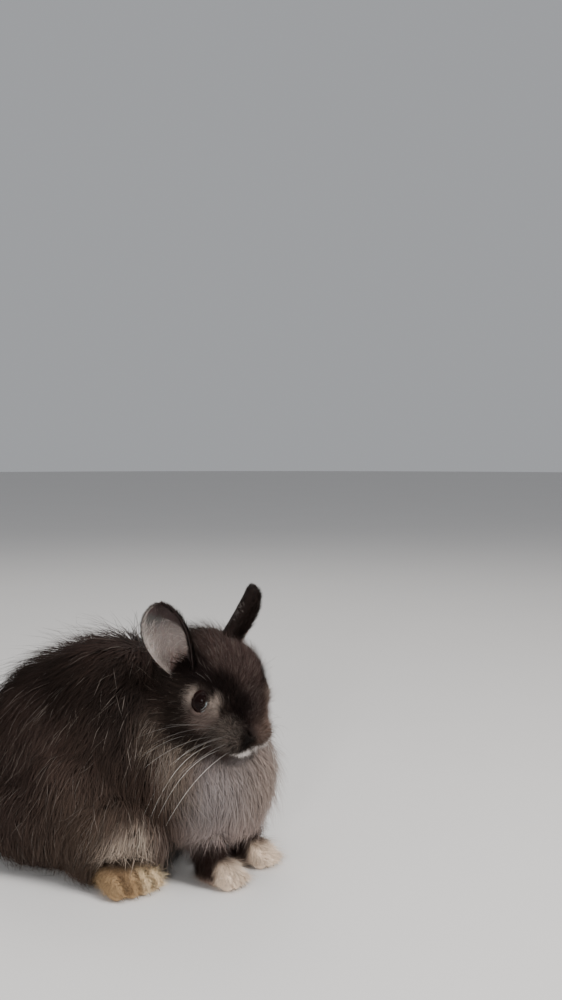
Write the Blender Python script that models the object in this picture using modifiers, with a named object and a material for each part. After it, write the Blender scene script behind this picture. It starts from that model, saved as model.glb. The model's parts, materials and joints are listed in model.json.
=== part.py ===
"""A dwarf rabbit with a fluffy coat, sitting on all fours, as a life-size still model.

The rabbit faces -Y, its right side is -X and the floor is at z = 0. Its head is turned to its right.
Lengths are in metres. The origin is the middle of the model's box, at the floor.
"""

import math
import random

import bmesh
import bpy
import numpy as np
from mathutils import Euler, Matrix, Vector
from mathutils.bvhtree import BVHTree

MM = 0.001
GAP = 0.3 * MM

# The body without its loose coat
BODY_HALF_WIDTH = 47 * MM
BODY_HALF_LENGTH = 77 * MM
BACK_HEIGHT = 111 * MM
BELLY_HEIGHT = 14 * MM
BODY_MIDDLE_Y = 12 * MM
COAT_DEPTH = 8.6 * MM

# The head, about its own middle between the eyes
HEAD_PLACE = Vector((-14.0, -43.3, 91.8)) * MM
HEAD_TURN = math.radians(21)
HEAD_NOD = math.radians(17)
SKULL_HALF_WIDTH = 24.5 * MM
MUZZLE_REACH = 34.5 * MM
EYE_RADIUS = 7.6 * MM
EYE_PLACE = Vector((16.4, -10, 4)) * MM

# The ears
EAR_LENGTH = 37.5 * MM
EAR_FLAT_WIDTH = 31 * MM
EAR_WIDEST = 0.58
EAR_SKEW = 1.5 * MM
EAR_THICKNESS = 2.2 * MM

# The legs
PAW_LENGTH = 25 * MM
PAW_WIDTH = 16 * MM
FORE_PAW_Y = -51 * MM
FORE_PAW_X = 18.5 * MM
CHEST_SHIFT = -4.5 * MM
HIND_FOOT_LENGTH = 68 * MM
HIND_FOOT_WIDTH = 28 * MM
HIND_HEEL_Y = 34 * MM
HIND_HEEL_X = 31 * MM
HIND_FOOT_SPLAY = math.radians(22)

# The coat
LOCK_LENGTH = 40 * MM
LOCK_WIDTH = 24 * MM
LOCK_THICKNESS = 5.6 * MM
BODY_LOCKS = 132
RUFF_LOCKS = 7
TAIL_LOCKS = 5
ROOT_DEPTH = 4.5 * MM
LOWEST_HAIR = 2 * MM
FLOOR_EASE = 5 * MM

BODY_LIE = Vector((0, 0.55, -0.8))

COAT_BROWN = (0.035, 0.026, 0.022, 1)
BIB_GREY = (0.16, 0.145, 0.15, 1)
PAW_TAN = (0.52, 0.37, 0.22, 1)
EAR_GREY = (0.30, 0.27, 0.28, 1)
EYE_BROWN = (0.012, 0.006, 0.005, 1)


def clear_scene():
    for obj in list(bpy.data.objects):
        bpy.data.objects.remove(obj)


def new_collection(name):
    made = bpy.data.collections.new(name)
    bpy.context.scene.collection.children.link(made)
    return made


def material(name, colour, roughness):
    made = bpy.data.materials.new(name)
    made.use_nodes = True
    shader = made.node_tree.nodes["Principled BSDF"]
    shader.inputs["Base Color"].default_value = colour
    shader.inputs["Roughness"].default_value = roughness
    shader.inputs["Metallic"].default_value = 0.0
    return made


def mesh_object(name, bm, collection):
    """Puts a bmesh into a new object."""
    bmesh.ops.recalc_face_normals(bm, faces=bm.faces)
    mesh = bpy.data.meshes.new(name)
    bm.to_mesh(mesh)
    bm.free()
    obj = bpy.data.objects.new(name, mesh)
    collection.objects.link(obj)
    return obj


def ellipsoid(name, middle, radii, collection, turn=(0, 0, 0), segments=24, rings=16):
    """A ball stretched to three radii. middle and radii are in millimetres, turn in degrees."""
    bm = bmesh.new()
    bmesh.ops.create_uvsphere(bm, u_segments=segments, v_segments=rings, radius=1.0)
    place = Matrix.Translation(Vector(middle) * MM)
    turned = Euler([math.radians(a) for a in turn]).to_matrix().to_4x4()
    size = Matrix.Diagonal((*(Vector(radii) * MM), 1.0))
    bmesh.ops.transform(bm, matrix=place @ turned @ size, verts=bm.verts)
    return mesh_object(name, bm, collection)


def both_sides(forms):
    """The forms, with a mirrored one for each whose middle is off the centre line."""
    found = []
    for middle, radii, turn in forms:
        found.append((middle, radii, turn))
        if middle[0]:
            x, y, z = middle
            found.append(((-x, y, z), radii, (turn[0], -turn[1], -turn[2])))
    return found


def apply_modifiers(obj):
    graph = bpy.context.evaluated_depsgraph_get()
    made = bpy.data.meshes.new_from_object(obj.evaluated_get(graph))
    obj.modifiers.clear()
    old = obj.data
    obj.data = made
    bpy.data.meshes.remove(old)


def moved(obj, matrix):
    obj.data.transform(matrix)
    obj.data.update()
    return obj


def copy_of(obj, name, collection):
    made = obj.copy()
    made.data = obj.data.copy()
    made.name = name
    collection.objects.link(made)
    return made


def remove(objects):
    for obj in list(objects):
        bpy.data.objects.remove(obj)


def boolean(obj, other, operation):
    """Joins or cuts obj by another closed mesh, or by a collection of them."""
    step = obj.modifiers.new(operation.lower(), "BOOLEAN")
    step.operation = operation
    step.solver = "MANIFOLD"
    if isinstance(other, bpy.types.Collection):
        step.operand_type = "COLLECTION"
        step.collection = other
    else:
        step.object = other
    apply_modifiers(obj)


def triangle_count(obj):
    obj.data.calc_loop_triangles()
    return len(obj.data.loop_triangles)


def soft_form(name, forms, voxel, smoothing, triangles, collection):
    """One smooth closed form from overlapping ellipsoids, with about so many triangles."""
    bm = bmesh.new()
    for middle, radii, turn in forms:
        ball = ellipsoid("ball", middle, radii, collection, turn)
        bm.from_mesh(ball.data)
        remove([ball])
    obj = mesh_object(name, bm, collection)
    wrap = obj.modifiers.new("wrap", "REMESH")
    wrap.mode = "VOXEL"
    wrap.voxel_size = voxel
    soften = obj.modifiers.new("soften", "SMOOTH")
    soften.factor = 0.5
    soften.iterations = smoothing
    apply_modifiers(obj)
    thin = obj.modifiers.new("thin", "DECIMATE")
    thin.ratio = min(1.0, triangles / triangle_count(obj))
    apply_modifiers(obj)
    return obj


def grown(obj, amount, collection):
    """A copy of a smooth form that stands proud of it all over, to cut a neighbour clear of it."""
    made = copy_of(obj, obj.name + "_grown", collection)
    push = made.modifiers.new("push", "DISPLACE")
    push.strength = amount
    push.mid_level = 0.0
    apply_modifiers(made)
    return made


def keep_largest(obj):
    """Drops every closed surface of the mesh but the largest."""
    bm = bmesh.new()
    bm.from_mesh(obj.data)
    bm.faces.ensure_lookup_table()
    unseen = set(bm.faces)
    best, best_size = set(), -1.0
    while unseen:
        start = unseen.pop()
        shell = {start}
        edge_of_search = [start]
        while edge_of_search:
            face = edge_of_search.pop()
            for edge in face.edges:
                for near in edge.link_faces:
                    if near in unseen:
                        unseen.discard(near)
                        shell.add(near)
                        edge_of_search.append(near)
        size = sum(face.calc_area() for face in shell)
        if size > best_size:
            best, best_size = shell, size
    bmesh.ops.delete(bm, geom=[face for face in bm.faces if face not in best], context="FACES")
    bm.to_mesh(obj.data)
    bm.free()


def box(name, low, high, collection):
    bm = bmesh.new()
    bmesh.ops.create_cube(bm, size=1.0)
    low, high = Vector(low), Vector(high)
    size = Matrix.Diagonal((*(high - low), 1.0))
    bmesh.ops.transform(bm, matrix=Matrix.Translation((low + high) / 2) @ size, verts=bm.verts)
    return mesh_object(name, bm, collection)


def cut_floor(obj, level, tools):
    """Gives the form a flat sole at this height."""
    below = box("below", (-1, -1, -1), (1, 1, level), tools)
    boolean(obj, below, "DIFFERENCE")
    remove([below])


def body_forms():
    """The body under the loose coat: rump, loin, shoulders, chest, neck and haunches, in millimetres."""
    half_width = BODY_HALF_WIDTH / MM
    half_length = BODY_HALF_LENGTH / MM
    top = BACK_HEIGHT / MM
    low = BELLY_HEIGHT / MM
    middle = BODY_MIDDLE_Y / MM
    tall = (top - low) / 2
    rump_length = half_length * 0.67
    rump_y = middle + half_length - rump_length
    chest_y = middle - half_length
    chest_x = CHEST_SHIFT / MM
    return both_sides(
        [
            ((0, rump_y, low + tall - 6), (half_width, rump_length, tall - 3), (0, 0, 0)),
            ((0, rump_y - 26, low + tall), (half_width * 0.97, 56, tall), (0, 0, 0)),
            ((-2, chest_y + 43, top - 50), (half_width * 0.80, 34, 43), (0, 0, 0)),
            ((half_width - 20, rump_y + 4, 27), (26, 44, 23), (0, 0, 0)),
            ((half_width - 20, rump_y - 14, 42), (25, 36, 28), (0, 0, 0)),
            ((half_width - 13, rump_y - 35, 24), (20, 26, 19), (0, 0, 0)),
        ]
    ) + [
        ((chest_x, chest_y + 29, 50), (33, 28, 34), (0, 0, 0)),
        ((chest_x * 1.2, chest_y + 43, 79), (21, 24, 23), (0, 0, 0)),
    ]


def head_forms():
    """Skull, cheeks, brow, muzzle, whisker pads, nose and chin, in millimetres about the head's middle."""
    half_width = SKULL_HALF_WIDTH / MM
    nose = -MUZZLE_REACH / MM
    return both_sides(
        [
            ((0, 5, 4), (half_width, 28, 26), (0, 0, 0)),
            ((0, -4, 14), (19, 22, 16), (0, 0, 0)),
            ((0, -16, 4), (14, 18, 13), (0, 0, 0)),
            ((13, -9.5, 3.5), (10.2, 14, 12.5), (0, 0, 0)),
            ((11.5, -4, -9), (14.5, 20, 15), (0, 0, 0)),
            ((7.5, nose + 18, -7), (11.5, 15, 12.5), (0, 0, 0)),
            ((6.8, nose + 9, -10), (8.6, 9.4, 8.2), (0, 0, 0)),
            ((0, nose + 6, -5), (7.2, 7.2, 7.4), (0, 0, 0)),
            ((0, nose + 13, -18), (9.5, 10.5, 7.5), (0, 0, 0)),
        ]
    )


def ear_half_width(along):
    """Half the width of the ear laid flat: narrower at the root, widest past its middle, round at the tip."""
    if along < EAR_WIDEST:
        return EAR_FLAT_WIDTH / 2 * (0.62 + 0.38 * math.sin(math.pi / 2 * along / EAR_WIDEST))
    beyond = (along - EAR_WIDEST) / (1 - EAR_WIDEST)
    return EAR_FLAT_WIDTH / 2 * (1 - beyond**2.4) ** 0.45


def ear_shell(name, side, thickness, collection):
    """A cupped leaf: rolled at the root and open to the side at the rounded tip. side is 1 for the left."""
    rows, columns = 11, 9
    bm = bmesh.new()
    grid = []
    for row in range(rows):
        along = 0.994 * math.sin(math.pi / 2 * row / (rows - 1))
        roll = math.radians(122 - 58 * along**0.6)
        radius = ear_half_width(along) / roll
        lean = 0.10 * EAR_LENGTH * along**2
        line = []
        for column in range(columns):
            across = 2 * column / (columns - 1) - 1
            angle = across * roll
            outward = radius * (1 - math.cos(angle))
            backward = radius * math.sin(angle) + EAR_SKEW * along**2
            line.append(bm.verts.new((side * (outward - lean), backward, along * EAR_LENGTH)))
        grid.append(line)
    for lower, upper in zip(grid, grid[1:]):
        for a, b, c, d in zip(lower, lower[1:], upper[1:], upper):
            bm.faces.new((a, b, c, d))
    obj = mesh_object(name, bm, collection)
    skin = obj.modifiers.new("skin", "SOLIDIFY")
    skin.thickness = thickness
    skin.offset = 0.0
    apply_modifiers(obj)
    return obj


def head_matrix():
    return Matrix.Translation(HEAD_PLACE) @ Euler((HEAD_NOD, 0, -HEAD_TURN), "XYZ").to_matrix().to_4x4()


def ear_matrix(side):
    """Where an ear stands on the head: the left one upright, the right one lower and more to the side."""
    splay = math.radians(43 if side > 0 else 30)
    back = math.radians(-8 if side > 0 else -12)
    twist = math.radians(-52 if side > 0 else -42)
    root = Vector((1, 6, 23) if side > 0 else (-15.8, 5, 13.8)) * MM
    turn = Euler((back, side * splay, side * twist), "ZXY").to_matrix().to_4x4()
    return head_matrix() @ Matrix.Translation(root) @ turn


def lid_ring(side, thick, collection):
    """The rim of the two lids around an eye: an almond loop with a round section."""
    around, across = 16, 5
    bm = bmesh.new()
    rim = []
    for i in range(around):
        a = math.tau * i / around
        loop = []
        for j in range(across):
            b = math.tau * j / across
            spread = 6.0 * MM + thick / 2 * math.cos(b)
            outward = 5.0 * MM + thick / 2 * math.sin(b)
            loop.append(bm.verts.new((side * outward, spread * math.cos(a) * 1.12, spread * math.sin(a) * 0.93)))
        rim.append(loop)
    for here, after in zip(rim, rim[1:] + rim[:1]):
        for j in range(across):
            k = (j + 1) % across
            bm.faces.new((here[j], here[k], after[k], after[j]))
    lid = mesh_object("lid", bm, collection)
    eye = Matrix.Translation((side * EYE_PLACE.x, EYE_PLACE.y, EYE_PLACE.z))
    return moved(lid, eye @ Matrix.Rotation(math.radians(-14 * side), 4, "Z"))


def make_head(collection, tools):
    """The head with its lids, eye sockets, nostrils and mouth, and the room it needs."""
    head = soft_form("head", head_forms(), 1.4 * MM, 14, 1500, collection)
    room = grown(head, GAP, tools)
    for side in (1, -1):
        for form, thick in ((head, 2.6 * MM), (room, 2.6 * MM + 2 * GAP)):
            lid = lid_ring(side, thick, tools)
            boolean(form, lid, "UNION")
            remove([lid])
    for side in (1, -1):
        eye = Vector((side * EYE_PLACE.x, EYE_PLACE.y, EYE_PLACE.z))
        socket = ellipsoid("socket", eye / MM, [(EYE_RADIUS + GAP) / MM] * 3, tools, (0, 90, 0), 16, 10)
        boolean(head, socket, "DIFFERENCE")
        remove([socket])
    cut_mouth(head, tools)
    keep_largest(head)
    return moved(head, head_matrix()), moved(room, head_matrix())


def cut_mouth(head, tools):
    """The slanted nostrils, the cleft under the nose and the line of the mouth."""
    nose = -MUZZLE_REACH / MM
    for side in (1, -1):
        nostril = ellipsoid(
            "nostril", (side * 2.8, nose + 2.6, -4.0), (0.8, 3.0, 2.6), tools, (0, side * 32, side * 30), 10, 6
        )
        boolean(head, nostril, "DIFFERENCE")
        remove([nostril])
    surface = BVHTree.FromObject(head, bpy.context.evaluated_depsgraph_get())
    cleft = [(0, nose + 1, -7), (0, nose + 1, -9), (0, nose + 1, -11.5), (0, nose + 2, -13.6)]
    lips = [(10.5, nose + 11, -15), (8.6, nose + 7, -15.8), (5.6, nose + 4, -16), (2.6, nose + 3, -15)]
    lips = lips + [(0, nose + 2.6, -13.8)] + [(-x, y, z) for x, y, z in reversed(lips)]
    for line in (cleft, lips):
        points = [surface.find_nearest(Vector(point) * MM)[0] for point in line]
        groove = tube("groove", points, 0.6 * MM, tools)
        boolean(head, groove, "DIFFERENCE")
        remove([groove])


def tube(name, points, radius, collection):
    """A closed round tube along the points."""
    curve = bpy.data.curves.new(name, "CURVE")
    curve.dimensions = "3D"
    curve.bevel_depth = radius
    curve.bevel_resolution = 1
    curve.use_fill_caps = True
    line = curve.splines.new("POLY")
    line.points.add(len(points) - 1)
    for point, place in zip(line.points, points):
        point.co = (*place, 1)
    guide = bpy.data.objects.new(name, curve)
    collection.objects.link(guide)
    bpy.context.view_layer.update()
    mesh = bpy.data.meshes.new_from_object(guide.evaluated_get(bpy.context.evaluated_depsgraph_get()))
    bm = bmesh.new()
    bm.from_mesh(mesh)
    bmesh.ops.remove_doubles(bm, verts=bm.verts, dist=0.00001)
    bpy.data.objects.remove(guide)
    bpy.data.curves.remove(curve)
    bpy.data.meshes.remove(mesh)
    return mesh_object(name, bm, collection)


def make_eye(name, side, collection):
    eye = Vector((side * EYE_PLACE.x, EYE_PLACE.y, EYE_PLACE.z))
    ball = ellipsoid(name, eye / MM, [EYE_RADIUS / MM] * 3, collection, (0, 90, 0), 16, 10)
    return moved(ball, head_matrix())


def make_foreleg(name, side, collection, tools):
    """Forearm, paw and four toes."""
    length, width = PAW_LENGTH / MM, PAW_WIDTH / MM
    forms = [
        ((0, 0, 6.4), (width * 0.48, length * 0.47, 8.4), (0, 0, 0)),
        ((0, 6, 20), (width * 0.44, 8.5, 17), (-14, 0, 0)),
        ((0, 11, 36), (9, 11, 18), (-10, 0, 0)),
    ]
    for toe in range(4):
        x = (toe - 1.5) * width * 0.25
        forms.append(((x, -length * 0.39 + abs(toe - 1.5) * 1.3, 3.6), (2.7, 5.6, 5.0), (0, 0, 0)))
    leg = soft_form(name, forms, 1.2 * MM, 3, 330, collection)
    place = Matrix.Translation((side * FORE_PAW_X + CHEST_SHIFT, FORE_PAW_Y, 0))
    moved(leg, place @ Matrix.Rotation(math.radians(-3), 4, "Z"))
    cut_floor(leg, 0.0, tools)
    return leg


def make_hindfoot(name, side, collection, tools):
    """Heel, long sole and four toes, pointing -Y before it is turned outwards."""
    length, width = HIND_FOOT_LENGTH / MM, HIND_FOOT_WIDTH / MM
    forms = [
        ((0, -length * 0.12, 7), (8.5, 13, 9), (0, 0, 0)),
        ((0, -length * 0.40, 7.5), (9, 20, 9.5), (0, 0, 0)),
        ((0, -length * 0.72, 7), (width * 0.46, 14, 9), (0, 0, 0)),
        ((0, -length * 0.24, 20), (9, 13, 14), (20, 0, 0)),
    ]
    for toe in range(4):
        x = (toe - 1.5) * width * 0.26
        forms.append(((x, -length * 0.90 + abs(toe - 1.5) * 2.0, 4.6), (3.5, 7.8, 6.2), (0, 0, 0)))
    foot = soft_form(name, forms, 1.4 * MM, 3, 380, collection)
    place = Matrix.Translation((side * HIND_HEEL_X, HIND_HEEL_Y, 0))
    moved(foot, place @ Matrix.Rotation(side * HIND_FOOT_SPLAY, 4, "Z"))
    cut_floor(foot, 0.0, tools)
    return foot


def clear_of_floor(point):
    """The point, bent upwards where hair would come too near to the floor."""
    point = Vector(point)
    drop = LOWEST_HAIR + FLOOR_EASE - point.z
    if drop > 0:
        point.z = LOWEST_HAIR + FLOOR_EASE * math.exp(-drop / FLOOR_EASE)
    return point


def lock_path(surface, root, lie, length, rise, steps):
    """The middle line of a lock: it leaves the body from below its surface and bends to lie along it.

    Gives a place, a heading and an outward direction for each station from root to tip.
    """
    at, normal = surface.find_nearest(root)[:2]
    heading = (lie - normal * lie.dot(normal)).normalized()
    path = []
    for step in range(steps + 1):
        share = step / steps
        height = -ROOT_DEPTH + (rise + ROOT_DEPTH) * (1.5 * share**0.8 - 0.5 * share**4)
        path.append((clear_of_floor(at + normal * height), heading.copy(), normal.copy()))
        ahead = at + heading * length / steps
        found, turned = surface.find_nearest(ahead)[:2]
        if turned.z < -0.5:
            at = ahead
            continue
        at, normal = found, turned
        down = heading + lie * 0.35
        heading = (down - normal * down.dot(normal)).normalized()
    return path


def lock(name, path, width, thick, collection):
    """A flat, tapered lock of the coat about its middle line, ridged on top."""
    widths = (0.7, 1.0, 0.92, 0.56)
    tops = (0.45, 0.5, 0.45, 0.3)
    undersides = (0.8, 1.4, 1.2, 0.55)
    bm = bmesh.new()
    rings = []
    for (place, heading, normal), wide, top, under in zip(path, widths, tops, undersides):
        side = heading.cross(normal).normalized()
        half, up, down = width / 2 * wide, thick * top, thick * under
        ways = (side * half - normal * down, normal * up, side * -half - normal * down)
        rings.append([bm.verts.new(clear_of_floor(place + way)) for way in ways])
    tip = bm.verts.new(path[len(widths)][0])
    for lower, upper in zip(rings, rings[1:]):
        for j in range(3):
            bm.faces.new((lower[j], lower[(j + 1) % 3], upper[(j + 1) % 3], upper[j]))
    for j in range(3):
        bm.faces.new((rings[-1][j], rings[-1][(j + 1) % 3], tip))
    bm.faces.new(rings[0])
    return mesh_object(name, bm, collection)


def turned_about(direction, axis, angle):
    return Matrix.Rotation(angle, 3, axis) @ direction


def body_roots(surface, chance):
    """Roots of the body's locks, evenly spread by a golden spiral about the long axis, none under the belly."""
    roots = []
    for i in range(BODY_LOCKS):
        along = 1 - 2 * (i + 0.5) / BODY_LOCKS
        around = i * math.pi * (3 - math.sqrt(5))
        ring = math.sqrt(1 - along**2)
        way = Vector((ring * math.sin(around) * 50, along * 80, ring * math.cos(around) * 52)) * MM
        middle = Vector((0, BODY_MIDDLE_Y, 58 * MM))
        place, normal = surface.ray_cast(middle, way.normalized())[:2]
        if place is None or normal.z < -0.35 or place.z < 13 * MM:
            continue
        near = (place - HEAD_PLACE).length
        if near < 29 * MM:
            continue
        lie = turned_about(BODY_LIE, normal, chance.uniform(-0.3, 0.3))
        size = 1.0
        if near < 44 * MM and place.z > 70 * MM:
            size = 0.66
        if place.y < -18 * MM and place.z < 46 * MM:
            size = 0.66
        roots.append((place, lie, size * chance.uniform(0.9, 1.1)))
    return roots


def ruff_roots(surface, chance):
    """Roots of the short locks that stand round the back of the head, from one cheek to the other."""
    roots = []
    for i in range(RUFF_LOCKS):
        a = math.radians(-105 + 210 * i / (RUFF_LOCKS - 1))
        way = Matrix.Rotation(-HEAD_TURN, 3, "Z") @ Vector((math.sin(a) * 27, 17, math.cos(a) * 24))
        place, normal = surface.find_nearest(HEAD_PLACE + way * MM)[:2]
        lie = Vector((math.sin(a) * 0.4, 1.0, -0.55))
        roots.append((place, lie, 0.72 * chance.uniform(0.9, 1.1)))
    return roots


def tail_paths(chance):
    """Middle lines of the tail's locks: from its root up to its tip, bowed outwards, over the back and both sides."""
    axis = Vector((0, 0.3, 1)).normalized()
    base = Vector((0, 93, 19)) * MM
    paths = []
    for i in range(TAIL_LOCKS):
        a = math.radians(-95 + 190 * i / (TAIL_LOCKS - 1))
        outward = Vector((math.sin(a), math.cos(a), 0))
        outward = (outward - axis * outward.dot(axis)).normalized()
        length = chance.uniform(27, 32) * MM
        path = []
        for step in range(5):
            share = step / 4
            bow = 3.5 + 7 * math.sin(math.pi * (0.1 + 0.75 * share))
            path.append((base + axis * length * share + outward * bow * MM, axis, outward))
        paths.append(path)
    return paths


def add_locks(form, surface, roots, tail):
    """Fuses the locks of the body and the tail into the form, in one step."""
    locks = new_collection("locks")
    for place, lie, size in roots:
        path = lock_path(surface, place, lie, LOCK_LENGTH * size, COAT_DEPTH * size, 4)
        lock("lock", path, LOCK_WIDTH * size, LOCK_THICKNESS * size, locks)
    for path in tail:
        lock("lock", path, LOCK_WIDTH * 0.6, LOCK_THICKNESS * 0.9, locks)
    boolean(form, locks, "UNION")
    remove(locks.objects)
    bpy.data.collections.remove(locks)
    keep_largest(form)


def part_of(whole, name, keep, drop, collection):
    """The part of the whole inside all the keep forms and outside all the drop forms."""
    made = copy_of(whole, name, collection)
    for form in keep:
        boolean(made, form, "INTERSECT")
    for form in drop:
        boolean(made, form, "DIFFERENCE")
    keep_largest(made)
    return made


def half_space(name, point, normal, collection):
    """A big block that fills the side of a plane that its normal points to."""
    block = box(name, (-0.4, -0.4, 0), (0.4, 0.4, 0.8), collection)
    turn = Vector(normal).to_track_quat("Z", "Y").to_matrix().to_4x4()
    return moved(block, Matrix.Translation(Vector(point) * MM) @ turn)


def stand_on_origin(objects):
    """Moves everything so that the middle of the model's box is over the origin and its floor is at z = 0."""
    places = np.array([point.co for obj in objects for point in obj.data.vertices])
    low, high = places.min(axis=0), places.max(axis=0)
    step = Matrix.Translation((-(low[0] + high[0]) / 2, -(low[1] + high[1]) / 2, -low[2]))
    for obj in objects:
        moved(obj, step)


def main():
    clear_scene()
    rabbit = new_collection("dwarf_rabbit")
    tools = new_collection("tools")
    coat = material("coat", COAT_BROWN, 0.85)
    bib = material("bib", BIB_GREY, 0.85)
    tan = material("paws", PAW_TAN, 0.85)
    ear_lining = material("ear", EAR_GREY, 0.7)
    eye_gloss = material("eye", EYE_BROWN, 0.08)

    head, head_room = make_head(rabbit, tools)
    eyes = [make_eye("eye_left", 1, rabbit), make_eye("eye_right", -1, rabbit)]
    ears, ear_rooms = [], []
    for name, side in (("ear_left", 1), ("ear_right", -1)):
        ear = moved(ear_shell(name, side, EAR_THICKNESS, rabbit), ear_matrix(side))
        boolean(ear, head_room, "DIFFERENCE")
        keep_largest(ear)
        ears.append(ear)
        room = ear_shell(name + "_room", side, EAR_THICKNESS + 2 * GAP, tools)
        ear_rooms.append(moved(room, ear_matrix(side)))
    legs = [
        make_foreleg("foreleg_left", 1, rabbit, tools),
        make_foreleg("foreleg_right", -1, rabbit, tools),
        make_hindfoot("hindfoot_left", 1, rabbit, tools),
        make_hindfoot("hindfoot_right", -1, rabbit, tools),
    ]

    fine = soft_form("fine", body_forms(), 3 * MM, 10, 3000, tools)
    surface = BVHTree.FromObject(fine, bpy.context.evaluated_depsgraph_get())
    tail_core = ((0, 96, 31), (10, 9, 16), (-12, 0, 0))
    body = soft_form("body", body_forms() + [tail_core], 3 * MM, 8, 440, tools)
    chance = random.Random(9)
    roots = body_roots(surface, chance) + ruff_roots(surface, chance)
    cut_floor(body, 8 * MM, tools)
    add_locks(body, surface, roots, tail_paths(chance))
    boolean(body, head_room, "DIFFERENCE")
    for form in ear_rooms:
        boolean(body, form, "DIFFERENCE")
    for form in legs:
        boolean(body, grown(form, GAP, tools), "DIFFERENCE")
    keep_largest(body)

    nape = ((0, -22, 84), (-0.12, -0.8, 0.6))
    breast = ((0, -30, 50), (0, -1, 0))
    sides = {}
    for name, (point, normal) in (("nape", nape), ("breast", breast)):
        off = Vector(normal).normalized() * GAP / 2 / MM
        sides[name, "front"] = half_space(name, Vector(point) + off, normal, tools)
        sides[name, "back"] = half_space(name, Vector(point) - off, -Vector(normal), tools)
    balls = {
        "haunch_left": ((52, 29, 34), (31, 51, 41), (0, 14, 0)),
        "haunch_right": ((-52, 29, 34), (31, 51, 41), (0, -14, 0)),
        "tail": ((0, 104, 34), (17, 17, 24), (-14, 0, 0)),
    }
    rooms = []
    for name, (middle, radii, turn) in balls.items():
        spare = Vector((1, 1, 1)) * GAP / MM
        rooms.append(ellipsoid(name + "_room", middle, Vector(radii) + spare, tools, turn, 14, 9))
    part_of(body, "neck", [sides["nape", "front"]], rooms, rabbit)
    part_of(body, "chest", [sides["nape", "back"], sides["breast", "front"]], rooms, rabbit)
    part_of(body, "torso", [sides["nape", "back"], sides["breast", "back"]], rooms, rabbit)
    for name, (middle, radii, turn) in balls.items():
        part_of(body, name, [ellipsoid(name + "_room", middle, radii, tools, turn, 14, 9)], [], rabbit)

    remove(tools.objects)
    bpy.data.collections.remove(tools)
    looks = {"chest": bib, "foreleg_left": tan, "foreleg_right": tan, "hindfoot_left": tan, "hindfoot_right": tan}
    looks.update({"ear_left": ear_lining, "ear_right": ear_lining, "eye_left": eye_gloss, "eye_right": eye_gloss})
    for obj in rabbit.objects:
        obj.data.materials.clear()
        obj.data.materials.append(looks.get(obj.name, coat))
    stand_on_origin(list(rabbit.objects))


main()
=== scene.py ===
import json
import math

import bmesh
import bpy
import numpy as np
from mathutils import Euler, Matrix, Vector, noise
from mathutils.bvhtree import BVHTree
from mathutils.kdtree import KDTree

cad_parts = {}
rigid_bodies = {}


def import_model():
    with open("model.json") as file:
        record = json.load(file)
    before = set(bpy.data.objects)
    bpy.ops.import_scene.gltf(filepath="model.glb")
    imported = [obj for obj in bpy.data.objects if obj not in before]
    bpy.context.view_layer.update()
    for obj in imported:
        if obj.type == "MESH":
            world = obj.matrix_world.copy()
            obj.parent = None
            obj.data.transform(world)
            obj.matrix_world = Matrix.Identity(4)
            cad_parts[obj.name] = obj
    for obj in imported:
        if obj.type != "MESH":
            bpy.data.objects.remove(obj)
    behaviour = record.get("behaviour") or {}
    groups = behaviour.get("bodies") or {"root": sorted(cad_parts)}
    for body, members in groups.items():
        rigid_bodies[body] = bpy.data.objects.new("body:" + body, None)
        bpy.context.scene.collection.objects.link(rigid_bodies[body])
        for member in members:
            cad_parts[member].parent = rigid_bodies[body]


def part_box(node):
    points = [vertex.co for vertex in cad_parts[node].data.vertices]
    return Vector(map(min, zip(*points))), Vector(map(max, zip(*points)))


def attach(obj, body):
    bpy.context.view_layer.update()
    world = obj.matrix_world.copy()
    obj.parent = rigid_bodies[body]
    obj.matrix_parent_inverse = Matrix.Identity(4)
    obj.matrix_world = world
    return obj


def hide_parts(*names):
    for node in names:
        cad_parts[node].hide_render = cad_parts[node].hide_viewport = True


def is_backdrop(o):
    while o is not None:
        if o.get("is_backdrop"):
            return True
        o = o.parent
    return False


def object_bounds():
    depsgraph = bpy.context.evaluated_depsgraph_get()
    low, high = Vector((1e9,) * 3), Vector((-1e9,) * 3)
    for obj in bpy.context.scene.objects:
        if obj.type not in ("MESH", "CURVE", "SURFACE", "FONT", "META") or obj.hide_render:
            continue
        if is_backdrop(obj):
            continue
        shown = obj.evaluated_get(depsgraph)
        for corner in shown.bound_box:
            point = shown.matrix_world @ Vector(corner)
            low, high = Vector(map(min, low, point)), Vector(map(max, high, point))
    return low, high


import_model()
solid_low, solid_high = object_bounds()


# The skin of the whole rabbit, one soft surface from the nose to the tail and down to the toes.
# Skull, cheeks, shoulders, haunches and belly swell it, and it rests on four flat soles.
# It takes the coat's colours, and the coat hides it nearly everywhere. Lengths here are millimetres.
MM = 0.001
BODY_HALF_WIDTH = 47
BODY_HALF_LENGTH = 77
BACK_HEIGHT = 111
BELLY_HEIGHT = 14
BODY_MIDDLE_Y = 12
CHEST_SHIFT = -4.5
HEAD_PLACE = Vector((-14.0, -43.3, 91.8))
HEAD_TURN = 21
HEAD_NOD = 17
SKULL_HALF_WIDTH = 24.5
MUZZLE_REACH = 34.5
HEAD_INSET = 1.3
FOOT_INSET = 0.9
PAW_LENGTH = 25
PAW_WIDTH = 16
FORE_PAW_X = 18.5
FORE_PAW_Y = -51
FORE_PAW_TURN = -3
HIND_FOOT_LENGTH = 68
HIND_FOOT_WIDTH = 28
HIND_HEEL_X = 31
HIND_HEEL_Y = 34
HIND_FOOT_SPLAY = 22
FORE_TOE_STEP = PAW_WIDTH * 0.25
FORE_TOE_REACH = PAW_LENGTH * 0.39
FORE_TOE_BACK = 1.3
HIND_TOE_STEP = HIND_FOOT_WIDTH * 0.26
HIND_TOE_REACH = HIND_FOOT_LENGTH * 0.90
HIND_TOE_BACK = 2.0
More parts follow.
